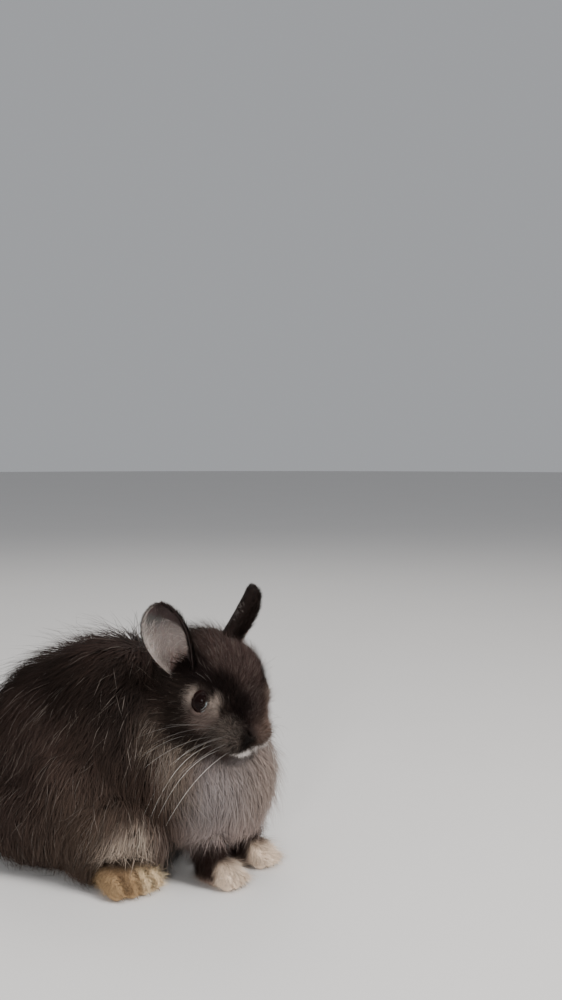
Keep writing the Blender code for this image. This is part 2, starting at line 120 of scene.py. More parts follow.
TAIL_FORM = ((0, 96, 31), (10, 9, 16), (-12, 0, 0))
EYE_RADIUS = 7.6
EYE_PLACE = Vector((16.4, -10, 4))
EYE_TURN = -37
EYE_TILT = 15
EYE_FORWARD = 1.0
EYE_LIFT = 0.8
EYE_OPENING = (2.95, 4.3)
SKIN_VOXEL = 0.85
SIDES = {"left": 1, "right": -1}


def turned(degrees):
    return Euler([math.radians(a) for a in degrees]).to_matrix().to_4x4()


def both_sides(forms):
    """The forms, with a mirrored one for each whose middle is off the centre line."""
    found = []
    for middle, radii, turn in forms:
        found.append((middle, radii, turn))
        if middle[0]:
            x, y, z = middle
            found.append(((-x, y, z), radii, (turn[0], -turn[1], -turn[2])))
    return found


def body_forms():
    """Rump, loin, shoulders, haunches, knees, chest and neck."""
    tall = (BACK_HEIGHT - BELLY_HEIGHT) / 2
    rump_length = BODY_HALF_LENGTH * 0.67
    rump_y = BODY_MIDDLE_Y + BODY_HALF_LENGTH - rump_length
    chest_y = BODY_MIDDLE_Y - BODY_HALF_LENGTH
    wide = BODY_HALF_WIDTH
    pairs = [
        ((0, rump_y, BELLY_HEIGHT + tall - 6), (wide, rump_length, tall - 3), (0, 0, 0)),
        ((0, rump_y - 26, BELLY_HEIGHT + tall), (wide * 0.97, 56, tall), (0, 0, 0)),
        ((-2, chest_y + 43, BACK_HEIGHT - 50), (wide * 0.80, 34, 43), (0, 0, 0)),
        ((wide - 20, rump_y + 4, 27), (26, 44, 23), (0, 0, 0)),
        ((wide - 20, rump_y - 14, 42), (25, 36, 28), (0, 0, 0)),
        ((wide - 13, rump_y - 35, 24), (20, 26, 19), (0, 0, 0)),
    ]
    chest = ((CHEST_SHIFT, chest_y + 29, 50), (33, 28, 34), (0, 0, 0))
    neck = ((CHEST_SHIFT * 1.2, chest_y + 43, 79), (21, 24, 23), (0, 0, 0))
    return both_sides(pairs) + [chest, neck]


def head_forms():
    """Skull, crown, brow, eye sockets, cheeks, muzzle, whisker pads, nose and chin, in the head's frame."""
    nose = -MUZZLE_REACH
    return both_sides([
        ((0, 5, 4), (SKULL_HALF_WIDTH, 28, 26), (0, 0, 0)),
        ((0, -4, 14), (19, 22, 16), (0, 0, 0)),
        ((0, -16, 4), (14, 18, 13), (0, 0, 0)),
        ((13, -9.5, 3.5), (10.2, 14, 12.5), (0, 0, 0)),
        ((11.5, -4, -9), (14.5, 20, 15), (0, 0, 0)),
        ((7.5, nose + 18, -7), (11.5, 15, 12.5), (0, 0, 0)),
        ((8.0, nose + 8.5, -9.6), (9.4, 9.2, 8.0), (0, 0, 0)),
        ((0, nose + 6, -5), (7.2, 7.2, 7.4), (0, 0, 0)),
        ((0, nose + 13, -18), (9.5, 10.5, 7.5), (0, 0, 0)),
    ])


def toe_ends(spacing, reach, step_back, height):
    """One place for each of the four toes of a paw, in its own frame: the middle two reach furthest."""
    return [((toe - 1.5) * spacing, -reach + abs(toe - 1.5) * step_back, height) for toe in range(4)]


def foreleg_forms():
    """Paw, wrist, forearm and four toes, pointing -Y."""
    forms = [
        ((0, 0, 6.4), (PAW_WIDTH * 0.48, PAW_LENGTH * 0.47, 8.4), (0, 0, 0)),
        ((0, 6, 20), (PAW_WIDTH * 0.44, 8.5, 17), (-14, 0, 0)),
        ((0, 11, 36), (9, 11, 18), (-10, 0, 0)),
    ]
    toes = toe_ends(FORE_TOE_STEP, FORE_TOE_REACH, FORE_TOE_BACK, 3.6)
    return forms + [(place, (2.7, 5.6, 5.0), (0, 0, 0)) for place in toes]


def hindfoot_forms():
    """Heel, instep, ball, ankle and four toes, pointing -Y."""
    length = HIND_FOOT_LENGTH
    forms = [
        ((0, -length * 0.12, 7), (8.5, 13, 9), (0, 0, 0)),
        ((0, -length * 0.40, 7.5), (9, 20, 9.5), (0, 0, 0)),
        ((0, -length * 0.72, 7), (HIND_FOOT_WIDTH * 0.46, 14, 9), (0, 0, 0)),
        ((0, -length * 0.24, 20), (9, 13, 14), (20, 0, 0)),
    ]
    toes = toe_ends(HIND_TOE_STEP, HIND_TOE_REACH, HIND_TOE_BACK, 4.6)
    return forms + [(place, (3.5, 7.8, 6.2), (0, 0, 0)) for place in toes]


head_matrix = Matrix.Translation(HEAD_PLACE) @ turned((HEAD_NOD, 0, -HEAD_TURN))
foreleg_places = [
    Matrix.Translation((side * FORE_PAW_X + CHEST_SHIFT, FORE_PAW_Y, 0)) @ turned((0, 0, FORE_PAW_TURN))
    for side in (1, -1)
]
hindfoot_places = [
    Matrix.Translation((side * HIND_HEEL_X, HIND_HEEL_Y, 0)) @ turned((0, 0, side * HIND_FOOT_SPLAY))
    for side in (1, -1)
]
unmoved = [Matrix.Identity(4)]
flesh = {
    "body": (body_forms(), unmoved, 0),
    "head": (head_forms(), [head_matrix], HEAD_INSET),
    "forelegs": (foreleg_forms(), foreleg_places, FOOT_INSET),
    "hindfeet": (hindfoot_forms(), hindfoot_places, FOOT_INSET),
    "tail": ([TAIL_FORM], unmoved, 0),
}

# The solids stand with the middle of their box over the origin, and the near eye shows by how much.
low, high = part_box("eye_right")
near_eye = head_matrix @ Vector((-EYE_PLACE.x, EYE_PLACE.y, EYE_PLACE.z))
stand = Vector(((low[i] + high[i]) / 2 for i in range(3))) - near_eye * MM
to_metres = Matrix.Translation(stand) @ Matrix.Diagonal((MM, MM, MM, 1))


def added(name, data):
    """A new object of the given name and data in the scene."""
    piece = bpy.data.objects.new(name, data)
    bpy.context.scene.collection.objects.link(piece)
    return piece


def mesh_from(bm, name):
    """A new mesh with the shape worked out in a bmesh."""
    mesh = bpy.data.meshes.new(name)
    bm.to_mesh(mesh)
    bm.free()
    return mesh


def carried(places, matrix):
    """The places, given in a carrier's own frame, in the frame outside it."""
    turn = np.array(matrix.to_3x3())
    return places @ turn.T + np.array(matrix.translation)


def outside_of(places, region):
    """How far in millimetres each place lies outside the nearest form of a region."""
    forms, carriers, inset = flesh[region]
    found = np.full(len(places), 1000.0)
    for carrier in carriers:
        for middle, radii, turn in forms:
            local = carried(places, (carrier @ Matrix.Translation(middle) @ turned(turn)).inverted())
            radii = np.array(radii, float) - inset
            found = np.minimum(found, (np.linalg.norm(local / radii, axis=1) - 1) * radii.mean())
    return found


def smooth_step(low, high, value):
    share = np.clip((value - low) / (high - low), 0, 1)
    return share * share * (3 - 2 * share)


def from_line(places, line):
    """How far each place is from a line through the given points."""
    found = np.full(len(places), 1000.0)
    for start, end in zip(line, line[1:]):
        start, along = np.array(start, float), np.subtract(end, start).astype(float)
        share = np.clip((places - start) @ along / (along @ along), 0, 1)
        found = np.minimum(found, np.linalg.norm(places - start - share[:, None] * along, axis=1))
    return found


def mesh_places(mesh):
    found = np.empty(len(mesh.vertices) * 3, np.float32)
    mesh.vertices.foreach_get("co", found)
    return found.reshape(-1, 3).astype(float)


def mesh_normals(mesh):
    found = np.empty(len(mesh.vertices) * 3, np.float32)
    mesh.vertex_normals.foreach_get("vector", found)
    return found.reshape(-1, 3).astype(float)


def set_places(mesh, places):
    mesh.vertices.foreach_set("co", places.astype(np.float32).ravel())
    mesh.update()


def with_modifiers(piece):
    """Makes the piece's modifiers part of its mesh."""
    graph = bpy.context.evaluated_depsgraph_get()
    made = bpy.data.meshes.new_from_object(piece.evaluated_get(graph))
    piece.modifiers.clear()
    old, piece.data = piece.data, made
    bpy.data.meshes.remove(old)


def raw_skin():
    """All the forms wrapped in one even mesh."""
    bm = bmesh.new()
    for forms, carriers, inset in flesh.values():
        for carrier in carriers:
            for middle, radii, turn in forms:
                size = Matrix.Diagonal((*[r - inset for r in radii], 1))
                place = carrier @ Matrix.Translation(middle) @ turned(turn) @ size
                bmesh.ops.create_uvsphere(bm, u_segments=32, v_segments=20, radius=1, matrix=place)
    piece = added("skin", mesh_from(bm, "skin"))
    wrap = piece.modifiers.new("wrap", "REMESH")
    wrap.mode = "VOXEL"
    wrap.voxel_size = SKIN_VOXEL
    with_modifiers(piece)
    return piece


def soften(piece):
    """Smooths the body and head broadly and the toes only a little."""
    places = mesh_places(piece.data)
    broad = np.minimum(outside_of(places, "body"), outside_of(places, "head"))
    feet = np.minimum(outside_of(places, "forelegs"), outside_of(places, "hindfeet"))
    share = smooth_step(-2, 3, feet - broad)
    group = piece.vertex_groups.new(name="broad")
    for step in range(11):
        chosen = np.nonzero(np.round(share * 10) == step)[0]
        group.add(chosen.tolist(), step / 10, "REPLACE")
    for iterations, name in ((6, ""), (34, "broad")):
        smooth = piece.modifiers.new("soften", "SMOOTH")
        smooth.factor = 0.5
        smooth.iterations = iterations
        smooth.vertex_group = name
    with_modifiers(piece)


def finer_face(mesh):
    """Splits the skin's faces round the nose, mouth and eyes, where the small folds are."""
    places = carried(mesh_places(mesh), head_matrix.inverted())
    near_nose = (places[:, 1] < -MUZZLE_REACH + 12) & (np.abs(places[:, 0]) < 13)
    near_nose &= (places[:, 2] < 3) & (places[:, 2] > -24)
    near_eye = np.zeros(len(places), bool)
    for side in (1, -1):
        eye = np.array((side * EYE_PLACE.x, EYE_PLACE.y, EYE_PLACE.z))
        near_eye |= np.linalg.norm(places - eye, axis=1) < 11
        near_eye &= np.abs(places[:, 0]) > 12
    bm = bmesh.new()
    bm.from_mesh(mesh)
    bm.verts.ensure_lookup_table()
    chosen = set(np.nonzero(near_nose | near_eye)[0].tolist())
    edges = [edge for edge in bm.edges if edge.verts[0].index in chosen and edge.verts[1].index in chosen]
    bmesh.ops.subdivide_edges(bm, edges=edges, cuts=1, use_grid_fill=True, smooth=0.6)
    bmesh.ops.triangulate(bm, faces=[face for face in bm.faces if len(face.verts) > 4])
    bm.to_mesh(mesh)
    bm.free()


def eye_frame(side):
    """The eye's middle, with its own -X or +X axis looking out. side is 1 for the left."""
    middle = Vector((side * EYE_PLACE.x, EYE_PLACE.y - EYE_FORWARD, EYE_PLACE.z + EYE_LIFT))
    return Matrix.Translation(middle) @ turned((0, -EYE_TILT * side, EYE_TURN * side))


def from_opening(places, side):
    """How far across the eye's opening each place in the head's frame is: 0 in its middle, 1 at its rim."""
    local = carried(places, eye_frame(side).inverted())
    across = np.hypot(local[:, 1] / EYE_OPENING[0], local[:, 2] / EYE_OPENING[1])
    return np.where(side * local[:, 0] > 0, across, 9.0)


CLEFT = [(0, -MUZZLE_REACH, -7), (0, -MUZZLE_REACH, -11.5), (0, -MUZZLE_REACH + 2, -13.8)]
HALF_LIP = [(2.4, -31.8, -15.2), (5.6, -31, -15.8), (9.4, -28.4, -14.6), (13.5, -23, -13.4)]
LIPS = [(-x, y, z) for x, y, z in reversed(HALF_LIP)] + [CLEFT[-1]] + HALF_LIP
SOCKET_SINK = 1.6
LID_SEAT = 0.75
EYE_FOLD_ACROSS = 1.42
EYE_FOLD_HEIGHT = 0.55
NOSTRIL_PLACE = Vector((3.0, -MUZZLE_REACH + 2.0, -4.6))
NOSTRIL_RADII = (0.6, 3.2, 2.2)
NOSTRIL_DEPTH = 1.7
NOSTRIL_RIM = 0.18


def carve_face(mesh):
    """Sinks the eye sockets, nostrils, cleft and mouth into the skin and raises folds round the eyes."""
    places = carried(mesh_places(mesh), head_matrix.inverted())
    normals = mesh_normals(mesh) @ np.array(head_matrix.to_3x3())
    for side in (1, -1):
        across = from_opening(places, side)
        eye = np.array(eye_frame(side).translation)
        outward = places - eye
        reach = np.linalg.norm(outward, axis=1)
        sunk = smooth_step(1.15, 0.95, across) * (reach < 16)
        depth = np.maximum(reach - (EYE_RADIUS - SOCKET_SINK), 0) * sunk
        places -= outward / reach[:, None] * depth[:, None]
        over = smooth_step(1.0, 1.12, across) * smooth_step(3.2, 2.2, across) * (reach > 4)
        lift = np.maximum(EYE_RADIUS + LID_SEAT - np.linalg.norm(places - eye, axis=1), 0) * over
        places += outward / reach[:, None] * lift[:, None]
        fold = EYE_FOLD_HEIGHT * np.exp(-(((across - EYE_FOLD_ACROSS) / 0.12) ** 2)) * (reach < 14)
        places += normals * fold[:, None]
        there = Matrix.Translation(Matrix.Diagonal((side, 1, 1)) @ NOSTRIL_PLACE)
        slit = there @ turned((0, side * 38, side * 30))
        away = np.linalg.norm(carried(places, slit.inverted()) / NOSTRIL_RADII, axis=1)
        places[:, 1] += smooth_step(1.25, 0.5, away) * NOSTRIL_DEPTH
        rim = np.exp(-(((away - 1.8) / 0.4) ** 2)) * (places[:, 1] < -29)
        places += normals * (NOSTRIL_RIM * rim)[:, None]
    for line, deep, wide in ((CLEFT, 1.1, 0.75), (LIPS, 1.3, 0.8)):
        away = from_line(places, line)
        places -= normals * (deep * np.exp(-((away / wide) ** 2)) * (away < 4))[:, None]
    set_places(mesh, carried(places, head_matrix))


def unwrap(piece):
    """Unwraps the piece by its own shape."""
    for other in bpy.context.scene.objects:
        other.select_set(other == piece)
    bpy.context.view_layer.objects.active = piece
    bpy.ops.object.mode_set(mode="EDIT")
    bpy.ops.mesh.select_all(action="SELECT")
    bpy.ops.uv.smart_project(angle_limit=math.radians(66), island_margin=0.002)
    bpy.ops.object.mode_set(mode="OBJECT")
    piece.data.uv_layers[0].name = "OFBake"


skin = raw_skin()
soften(skin)
finer_face(skin.data)
carve_face(skin.data)
skin_places = mesh_places(skin.data)
skin_places[:, 2] = np.maximum(skin_places[:, 2], 0)
set_places(skin.data, skin_places)
skin.data.shade_smooth()
unwrap(skin)
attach(skin, "root")
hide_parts("head", "neck", "chest", "torso", "haunch_left", "haunch_right", "tail",
            "foreleg_left", "foreleg_right", "hindfoot_left", "hindfoot_right")


# The markings of the coat: near-black brown, with silver tips, a grey bib, pale rings round the eyes,
# a white line under the lips, tan toes and a pale belly. Most are pigment in the hairs, but some are painted
# light and shade: sheen on the forehead and the top of the back, a paler low bib, a lit far whisker pad
# and lit inner hind toes, and shade on the near side of the nose and between the hind toes. The skin and
# every tuft take the same colour at the same place.
FLANK_BROWN = (0.064, 0.0435, 0.035)
FLANK_LOW = (0.066, 0.048, 0.037)
BACK_BLACK = (0.0054, 0.0038, 0.0031)
# Painted sheen: a lighter purple-grey along the top of the back.
BACK_SHEEN_PURPLE = (0.022, 0.0142, 0.0122)
SHOULDER_DARK = (0.0155, 0.0108, 0.0090)
# Painted sheen: a lighter purple-grey on the forehead.
FOREHEAD_SHEEN = (0.046, 0.0305, 0.0275)
BRIDGE_BROWN = (0.023, 0.0150, 0.0140)
BROW_BLACK = (0.0075, 0.0045, 0.0040)
CHEEK_OLIVE = (0.018, 0.0132, 0.0108)
EYE_RING = (0.225, 0.190, 0.165)
EYE_RING_DULL = (0.140, 0.105, 0.093)
PAD_GREY = (0.034, 0.0255, 0.0215)
# Painted light: the far whisker pad, a lighter brown as on the lit side.
FAR_PAD_LIT_BROWN = (0.092, 0.061, 0.049)
# The nose's own near-black, which on the near side of the nose also carries painted shade.
NOSE_BLACK_AND_SHADE = (0.005, 0.0036, 0.0030)
LIP_WHITE = (0.84, 0.79, 0.75)
CHIN_RED = (0.056, 0.036, 0.031)
BIB_GREY = (0.192, 0.172, 0.168)
BIB_WARM = (0.220, 0.180, 0.158)
# Painted light: the bib made paler near its bottom, lifting the shade under the chest.
BIB_LOW_PAINTED_LIGHT = (0.300, 0.245, 0.225)
FRINGE_TAN = (0.062, 0.048, 0.038)
FRINGE_PALE = (0.120, 0.097, 0.079)
FLANK_DARK = (0.034, 0.0235, 0.020)
BELLY_PALE = (0.32, 0.27, 0.22)
HIND_PATCH = (0.34, 0.285, 0.232)
HOCK_BROWN = (0.048, 0.030, 0.020)
TOE_TAN = (0.52, 0.36, 0.205)
# Painted shade between the toes of the hind feet.
TOE_GAP_SHADE = (0.185, 0.118, 0.065)
# Painted light: the inner toes of each hind foot made paler, as lit.
TOE_PALE_LIT = (0.96, 0.76, 0.50)
TOE_CREAM = (0.88, 0.71, 0.56)
FOREARM_MAROON = (0.022, 0.0125, 0.0105)
SOLE_FRINGE = (0.34, 0.26, 0.215)
TIP_SILVER = (0.20, 0.17, 0.148)
BASE_TICKING = 0.035
PAD_GRAIN = 1.3
REGIONS = list(flesh)

# The white line along the lips, from a little right of the nose to the left corner of the mouth.
LIP_EDGE = [(-6.8, -27.8, -16.6), (-4.5, -29, -17.0), (-1.5, -30.4, -17.4), (2, -31.2, -16.8),
            (5, -32, -16.0), (9, -32.5, -13.2), (12, -31.5, -10.8), (15.5, -28.5, -9.2)]

# Each spot has a colour, a middle, three radii, a softness of its edge and the silver in its tips.
HEAD_MARKS = [
    # Painted sheen on the forehead.
    (FOREHEAD_SHEEN, (0, -12, 26), (18, 24, 15), 0.7, 0.10),
    (BRIDGE_BROWN, (0, -27, 4), (10, 12, 12), 0.6, 0.10),
    (BIB_GREY, (0, -24, -24), (12, 11, 5), 0.5, 0.10),
    (CHIN_RED, (11.5, -23, -19.5), (6.5, 8, 5), 0.6, 0.10),
    (BROW_BLACK, (17, 0, 18), (9, 13, 7), 0.4, 0.0),
    (BROW_BLACK, (12.5, -17, 15.5), (6.5, 11, 7), 0.4, 0.0),
    (BROW_BLACK, (8, -27, 8), (4.5, 8, 8), 0.5, 0.0),
    (EYE_RING_DULL, (20, -16.5, -1), (6, 7.5, 5.6), 0.6, 0.35),
    (EYE_RING, (22.6, -8.4, 6.0), (3.6, 2.6, 6.0), 0.6, 0.2),
    (EYE_RING, (17.4, -20.0, 6.4), (3.0, 2.0, 6.2), 0.7, 0.3),
    (PAD_GREY, (13, -28, -7), (8, 9, 9), 0.5, 0.60),
    (FRINGE_TAN, (26, -10, -21), (9, 12, 4.5), 0.7, 0.15),
]
# Not mirrored: painted light on the far pad, and near-black on the near side of the nose that is partly its
# own colour and partly painted shade.
NOSE_MARKS_AND_SIDE_LIGHT = [
    (FAR_PAD_LIT_BROWN, (14, -27, -3), (11, 11, 13), 0.9, 0.25),
    (NOSE_BLACK_AND_SHADE, (-4.2, -33.5, -8.5), (4.2, 5.5, 7.5), 0.8, 0.0),
    (NOSE_BLACK_AND_SHADE, (-0.5, -35, -11), (4, 5, 4), 0.4, 0.0),
]
BODY_MARKS = [
    (FLANK_LOW, (-55, 20, 22), (40, 60, 26), 0.7, 0.08),
    (FLANK_LOW, (55, 20, 22), (40, 60, 26), 0.7, 0.08),
    (SHOULDER_DARK, (0, -8, 74), (72, 26, 40), 0.5, 0.03),
    (SHOULDER_DARK, (0, 80, 66), (70, 34, 46), 0.7, 0.03),
    (BACK_BLACK, (0, 32, 92), (70, 46, 24), 0.6, 0.01),
    # Painted sheen along the top of the back.
    (BACK_SHEEN_PURPLE, (0, 14, 118), (42, 60, 13), 0.5, 0.03),
    (FLANK_DARK, (-60, 52, 50), (30, 34, 44), 0.8, 0.05),
    (BELLY_PALE, (0, 20, 4), (36, 75, 12), 0.3, 0.0),
    (BIB_GREY, (-4, -60, 36), (46, 28, 45), 0.25, 0.10),
    (BIB_WARM, (2, -68, 44), (24, 16, 34), 0.7, 0.10),
    # Painted light: a paler low bib that lifts the shade under the chest.
    (BIB_LOW_PAINTED_LIGHT, (-6, -60, 17), (38, 28, 15), 0.8, 0.10),
    (FRINGE_TAN, (-42, -29, 72), (9, 12, 16), 0.7, 0.3),
    (FRINGE_TAN, (42, -29, 72), (9, 12, 16), 0.7, 0.3),
    (FRINGE_PALE, (-42, -38, 56), (8, 8, 14), 0.8, 0.3),
    (FRINGE_PALE, (42, -38, 56), (8, 8, 14), 0.8, 0.3),
    (HIND_PATCH, (-52, -16, 20), (12, 13, 7), 0.6, 0.2),
    (HIND_PATCH, (52, -16, 20), (12, 13, 7), 0.6, 0.2),
]


def spot(places, middle, radii, softness):
    """1 inside an egg-shaped spot, fading to 0 past its edge."""
    away = np.linalg.norm((places - middle) / radii, axis=1)
    return smooth_step(1 + softness, 1 - softness, away)


def region_shares(places):
    """How much each place belongs to each region, with a blend a few millimetres wide where two meet."""
    away = np.array([outside_of(places, region) for region in REGIONS])
    shares = np.exp(-np.clip(away - away.min(axis=0), 0, 60) / 1.6)
    return shares / shares.sum(axis=0)


def painted(colours, silver, mask, colour, ticking):
    """Lays one marking over the colours and the silver."""
    colours += (np.array(colour) - colours) * mask[:, None]
    silver += (ticking - silver) * mask


def markings(places, shares):
    """The coat's colour and the share of silver tips at each place, for hair of the given regions."""
    on = dict(zip(REGIONS, shares))
    colours = np.outer(1 - on["head"], FLANK_BROWN) + np.outer(on["head"], CHEEK_OLIVE)
    silver = np.full(len(places), BASE_TICKING)
    in_head = carried(places, head_matrix.inverted())
    for colour, middle, radii, softness, ticking in BODY_MARKS:
        painted(colours, silver, spot(places, middle, radii, softness) * (1 - on["head"]), colour, ticking)
    for colour, middle, radii, softness, ticking in HEAD_MARKS:
        for side in (1, -1) if middle[0] else (1,):
            there = np.array(middle) * (side, 1, 1)
            painted(colours, silver, spot(in_head, there, radii, softness) * on["head"], colour, ticking)
    # The nose marks, with their painted light and shade, go on one side only.
    for colour, middle, radii, softness, ticking in NOSE_MARKS_AND_SIDE_LIGHT:
        painted(colours, silver, spot(in_head, middle, radii, softness) * on["head"], colour, ticking)
    pads = on["head"] * smooth_step(-17, -23, in_head[:, 1]) * smooth_step(7, 10, np.abs(in_head[:, 0]))
    grain = np.array([noise.noise(place * 0.55) for place in map(Vector, places.tolist())])
    colours *= (1 + PAD_GRAIN * grain * pads)[:, None]
    reach = 1.9 + 1.0 * smooth_step(-1, 5, in_head[:, 0])
    lip_edge = smooth_step(1, 0.45, from_line(in_head, LIP_EDGE) / reach) * on["head"]
    painted(colours, silver, lip_edge, LIP_WHITE, 0.0)
    painted(colours, silver, on["forelegs"], FOREARM_MAROON, 0.05)
    painted(colours, silver, on["forelegs"] * smooth_step(6, 3, places[:, 2]), SOLE_FRINGE, 0.0)
    paw = on["forelegs"] * smooth_step(14.5, 10, places[:, 2]) * smooth_step(-51.5, -55.5, places[:, 1])
    painted(colours, silver, paw, TOE_CREAM, 0.0)
    for side, place in zip((1, -1), hindfoot_places):
        x, y, z = carried(places, place.inverted()).T
        foot = on["hindfeet"] * (places[:, 0] * side > 0)
        painted(colours, silver, foot, HOCK_BROWN, 0.05)
        toes = foot * smooth_step(-40, -49, y) * smooth_step(15, 10, z)
        painted(colours, silver, toes, TOE_TAN, 0.0)
        # Painted light on the inner toes of the foot.
        painted(colours, silver, toes * smooth_step(-3, 1.5, -side * x), TOE_PALE_LIT, 0.0)
        # Painted shade in the gaps between the hind toes.
        from_gap = np.abs((x / HIND_TOE_STEP + 0.5) % 1 - 0.5) * HIND_TOE_STEP
        gap_shade = toes * smooth_step(1.6, 0.6, from_gap) * smooth_step(-48, -54, y) * (np.abs(x) < 10)
        painted(colours, silver, gap_shade, TOE_GAP_SHADE, 0.0)
    tail_under = on["tail"] * smooth_step(99, 103, places[:, 1])
    painted(colours, silver, tail_under, BELLY_PALE, 0.0)
    return colours, silver


def new_group(name, inputs, outputs):
    """A shader node group with sockets of the given names and kinds, and its two end nodes."""
    group = bpy.data.node_groups.new(name, "ShaderNodeTree")
    for label, kind, value in inputs:
        socket = group.interface.new_socket(label, in_out="INPUT", socket_type=kind)
        socket.default_value = value
    for label, kind in outputs:
        group.interface.new_socket(label, in_out="OUTPUT", socket_type=kind)
    return group, group.nodes.new("NodeGroupInput"), group.nodes.new("NodeGroupOutput")


def feed(tree, value, socket):
    """Links a socket to another one, or gives it a plain number or colour."""
    if isinstance(value, bpy.types.NodeSocket):
        tree.links.new(value, socket)
    elif isinstance(value, tuple):
        socket.default_value = (*value, 1)
    elif value is not None:
        socket.default_value = value


def maths(tree, operation, first, second=0.5, third=None):
    """A Math node fed by sockets or plain numbers."""
    node = tree.nodes.new("ShaderNodeMath")
    node.operation = operation
    for socket, value in zip(node.inputs, (first, second, third)):
        feed(tree, value, socket)
    return node.outputs[0]


def mixed(tree, factor, first, second, blend="MIX"):
    """A Mix node for colours, fed by sockets or plain values."""
    node = tree.nodes.new("ShaderNodeMix")
    node.data_type = "RGBA"
    node.blend_type = blend
    for value, place in ((factor, 0), (first, 6), (second, 7)):
        feed(tree, value, node.inputs[place])
    return node.outputs[2]


def clouds(tree, scale, detail=3.0):
    """Noise over the object's own coordinates."""
    where = tree.nodes.new("ShaderNodeTexCoord")
    node = tree.nodes.new("ShaderNodeTexNoise")
    feed(tree, scale, node.inputs["Scale"])
    feed(tree, detail, node.inputs["Detail"])
    node.inputs["Roughness"].default_value = 0.55
    tree.links.new(where.outputs["Object"], node.inputs["Vector"])
    return node.outputs["Fac"]


def hair_colour_group():
    """Colour of a hair from its marking: darker at the root as painted shade deep in the coat, varied by
    tuft, silver at some tips.
    """
    group, into, out = new_group(
        "hair_colour",
        [("Marking", "NodeSocketColor", (0.02, 0.015, 0.01, 1)), ("Along", "NodeSocketFloat", 0.5),
         ("Chance", "NodeSocketFloat", 0.5), ("Silver", "NodeSocketFloat", 0.1),
         ("Painted Root Shade", "NodeSocketFloat", 0.6), ("Variety", "NodeSocketFloat", 0.5)],
        [("Colour", "NodeSocketColor"), ("Roughness", "NodeSocketFloat")],
    )
    marking, along, chance, silver, root, variety = into.outputs[:6]
    patchy = clouds(group, 90)
    lift = maths(group, "SUBTRACT", maths(group, "ADD", chance, patchy), 1.0)
    gain = maths(group, "MULTIPLY_ADD", lift, variety, 1.0)
    # Painted shade: each hair darker towards its root, where the coat is deep.
    ramp = maths(group, "MULTIPLY_ADD", along, maths(group, "SUBTRACT", 1.15, root), root)
    value = maths(group, "MULTIPLY", gain, ramp)
    scale = group.nodes.new("ShaderNodeCombineColor")
    for socket in scale.inputs:
        group.links.new(value, socket)
    shaded = mixed(group, 1.0, marking, scale.outputs[0], "MULTIPLY")
    warm = maths(group, "MULTIPLY", maths(group, "FRACT", maths(group, "MULTIPLY", chance, 7.0)), 0.25)
    tinted = mixed(group, warm, shaded, (0.7, 0.52, 0.45), "SOFT_LIGHT")
    draw = maths(group, "FRACT", maths(group, "MULTIPLY", chance, 23.0))
    tipped = maths(group, "GREATER_THAN", silver, draw)
    towards_tip = maths(group, "MULTIPLY", tipped, maths(group, "SMOOTH_MIN", along, 0.7, 0.2))
    silvery = mixed(group, maths(group, "MULTIPLY", towards_tip, 0.8), tinted, TIP_SILVER)
    group.links.new(silvery, out.inputs["Colour"])
    group.links.new(maths(group, "MULTIPLY_ADD", chance, 0.15, 0.5), out.inputs["Roughness"])
    return group


def nap_group():
    """The nap of the shortest down, as a height for a bump."""
    group, into, out = new_group(
        "nap", [("Scale", "NodeSocketFloat", 2000.0), ("Detail", "NodeSocketFloat", 2.0)],
        [("Height", "NodeSocketFloat")],
    )
    height = clouds(group, into.outputs["Scale"], into.outputs["Detail"])
    group.links.new(height, out.inputs["Height"])
    return group


hair_colour = hair_colour_group()
nap = nap_group()


def new_material(name, specular):
    made = bpy.data.materials.new(name)
    made.use_nodes = True
    shader = made.node_tree.nodes["Principled BSDF"]
    shader.inputs["Specular IOR Level"].default_value = specular
    return made, made.node_tree, shader


def read(tree, name):
    """An attribute stored on the mesh's points."""
    node = tree.nodes.new("ShaderNodeAttribute")
    node.attribute_name = name
    return node


def with_group(tree, group, values):
    """A shader node group placed in a material, with the material's own values."""
    node = tree.nodes.new("ShaderNodeGroup")
    node.node_tree = group
    for label, value in values.items():
        feed(tree, value, node.inputs[label])
    return node


def coat_material(name, painted_root_shade, variety, specular):
    made, tree, shader = new_material(name, specular)
    marking, strand = read(tree, "marking"), read(tree, "strand")
    parts = tree.nodes.new("ShaderNodeSeparateXYZ")
    tree.links.new(strand.outputs["Vector"], parts.inputs[0])
    use = with_group(tree, hair_colour, {"Painted Root Shade": painted_root_shade, "Variety": variety})
    tree.links.new(marking.outputs["Color"], use.inputs["Marking"])
    for socket, label in zip(parts.outputs, ("Along", "Chance", "Silver")):
        tree.links.new(socket, use.inputs[label])
    tree.links.new(use.outputs["Colour"], shader.inputs["Base Color"])
    tree.links.new(use.outputs["Roughness"], shader.inputs["Roughness"])
    return made, tree, shader


def add_nap(tree, shader, scale, detail, distance, strength):
    """Lets the nap of the down break up the light on a material."""
    height = with_group(tree, nap, {"Scale": scale, "Detail": detail}).outputs["Height"]
    bump = tree.nodes.new("ShaderNodeBump")
    bump.inputs["Distance"].default_value = distance
    bump.inputs["Strength"].default_value = strength
    tree.links.new(height, bump.inputs["Height"])
    tree.links.new(bump.outputs["Normal"], shader.inputs["Normal"])


def skin_material():
    """Thin skin seen between the hairs, darkened as painted shadow under the coat, with the nap of the
    shortest down as bump.
    """
    made, tree, shader = coat_material("skin_under_coat", 0.55, 0.4, 0.06)
    add_nap(tree, shader, 2600, 2.0, 0.0004, 0.6)
    return made


def store(mesh, name, values):
    """Stores one number, or three, for each point of the mesh."""
    kind, key = ("FLOAT", "value") if np.ndim(values) == 1 else ("FLOAT_VECTOR", "vector")
    attribute = mesh.attributes.new(name, kind, "POINT")
    attribute.data.foreach_set(key, np.asarray(values, np.float32).ravel())


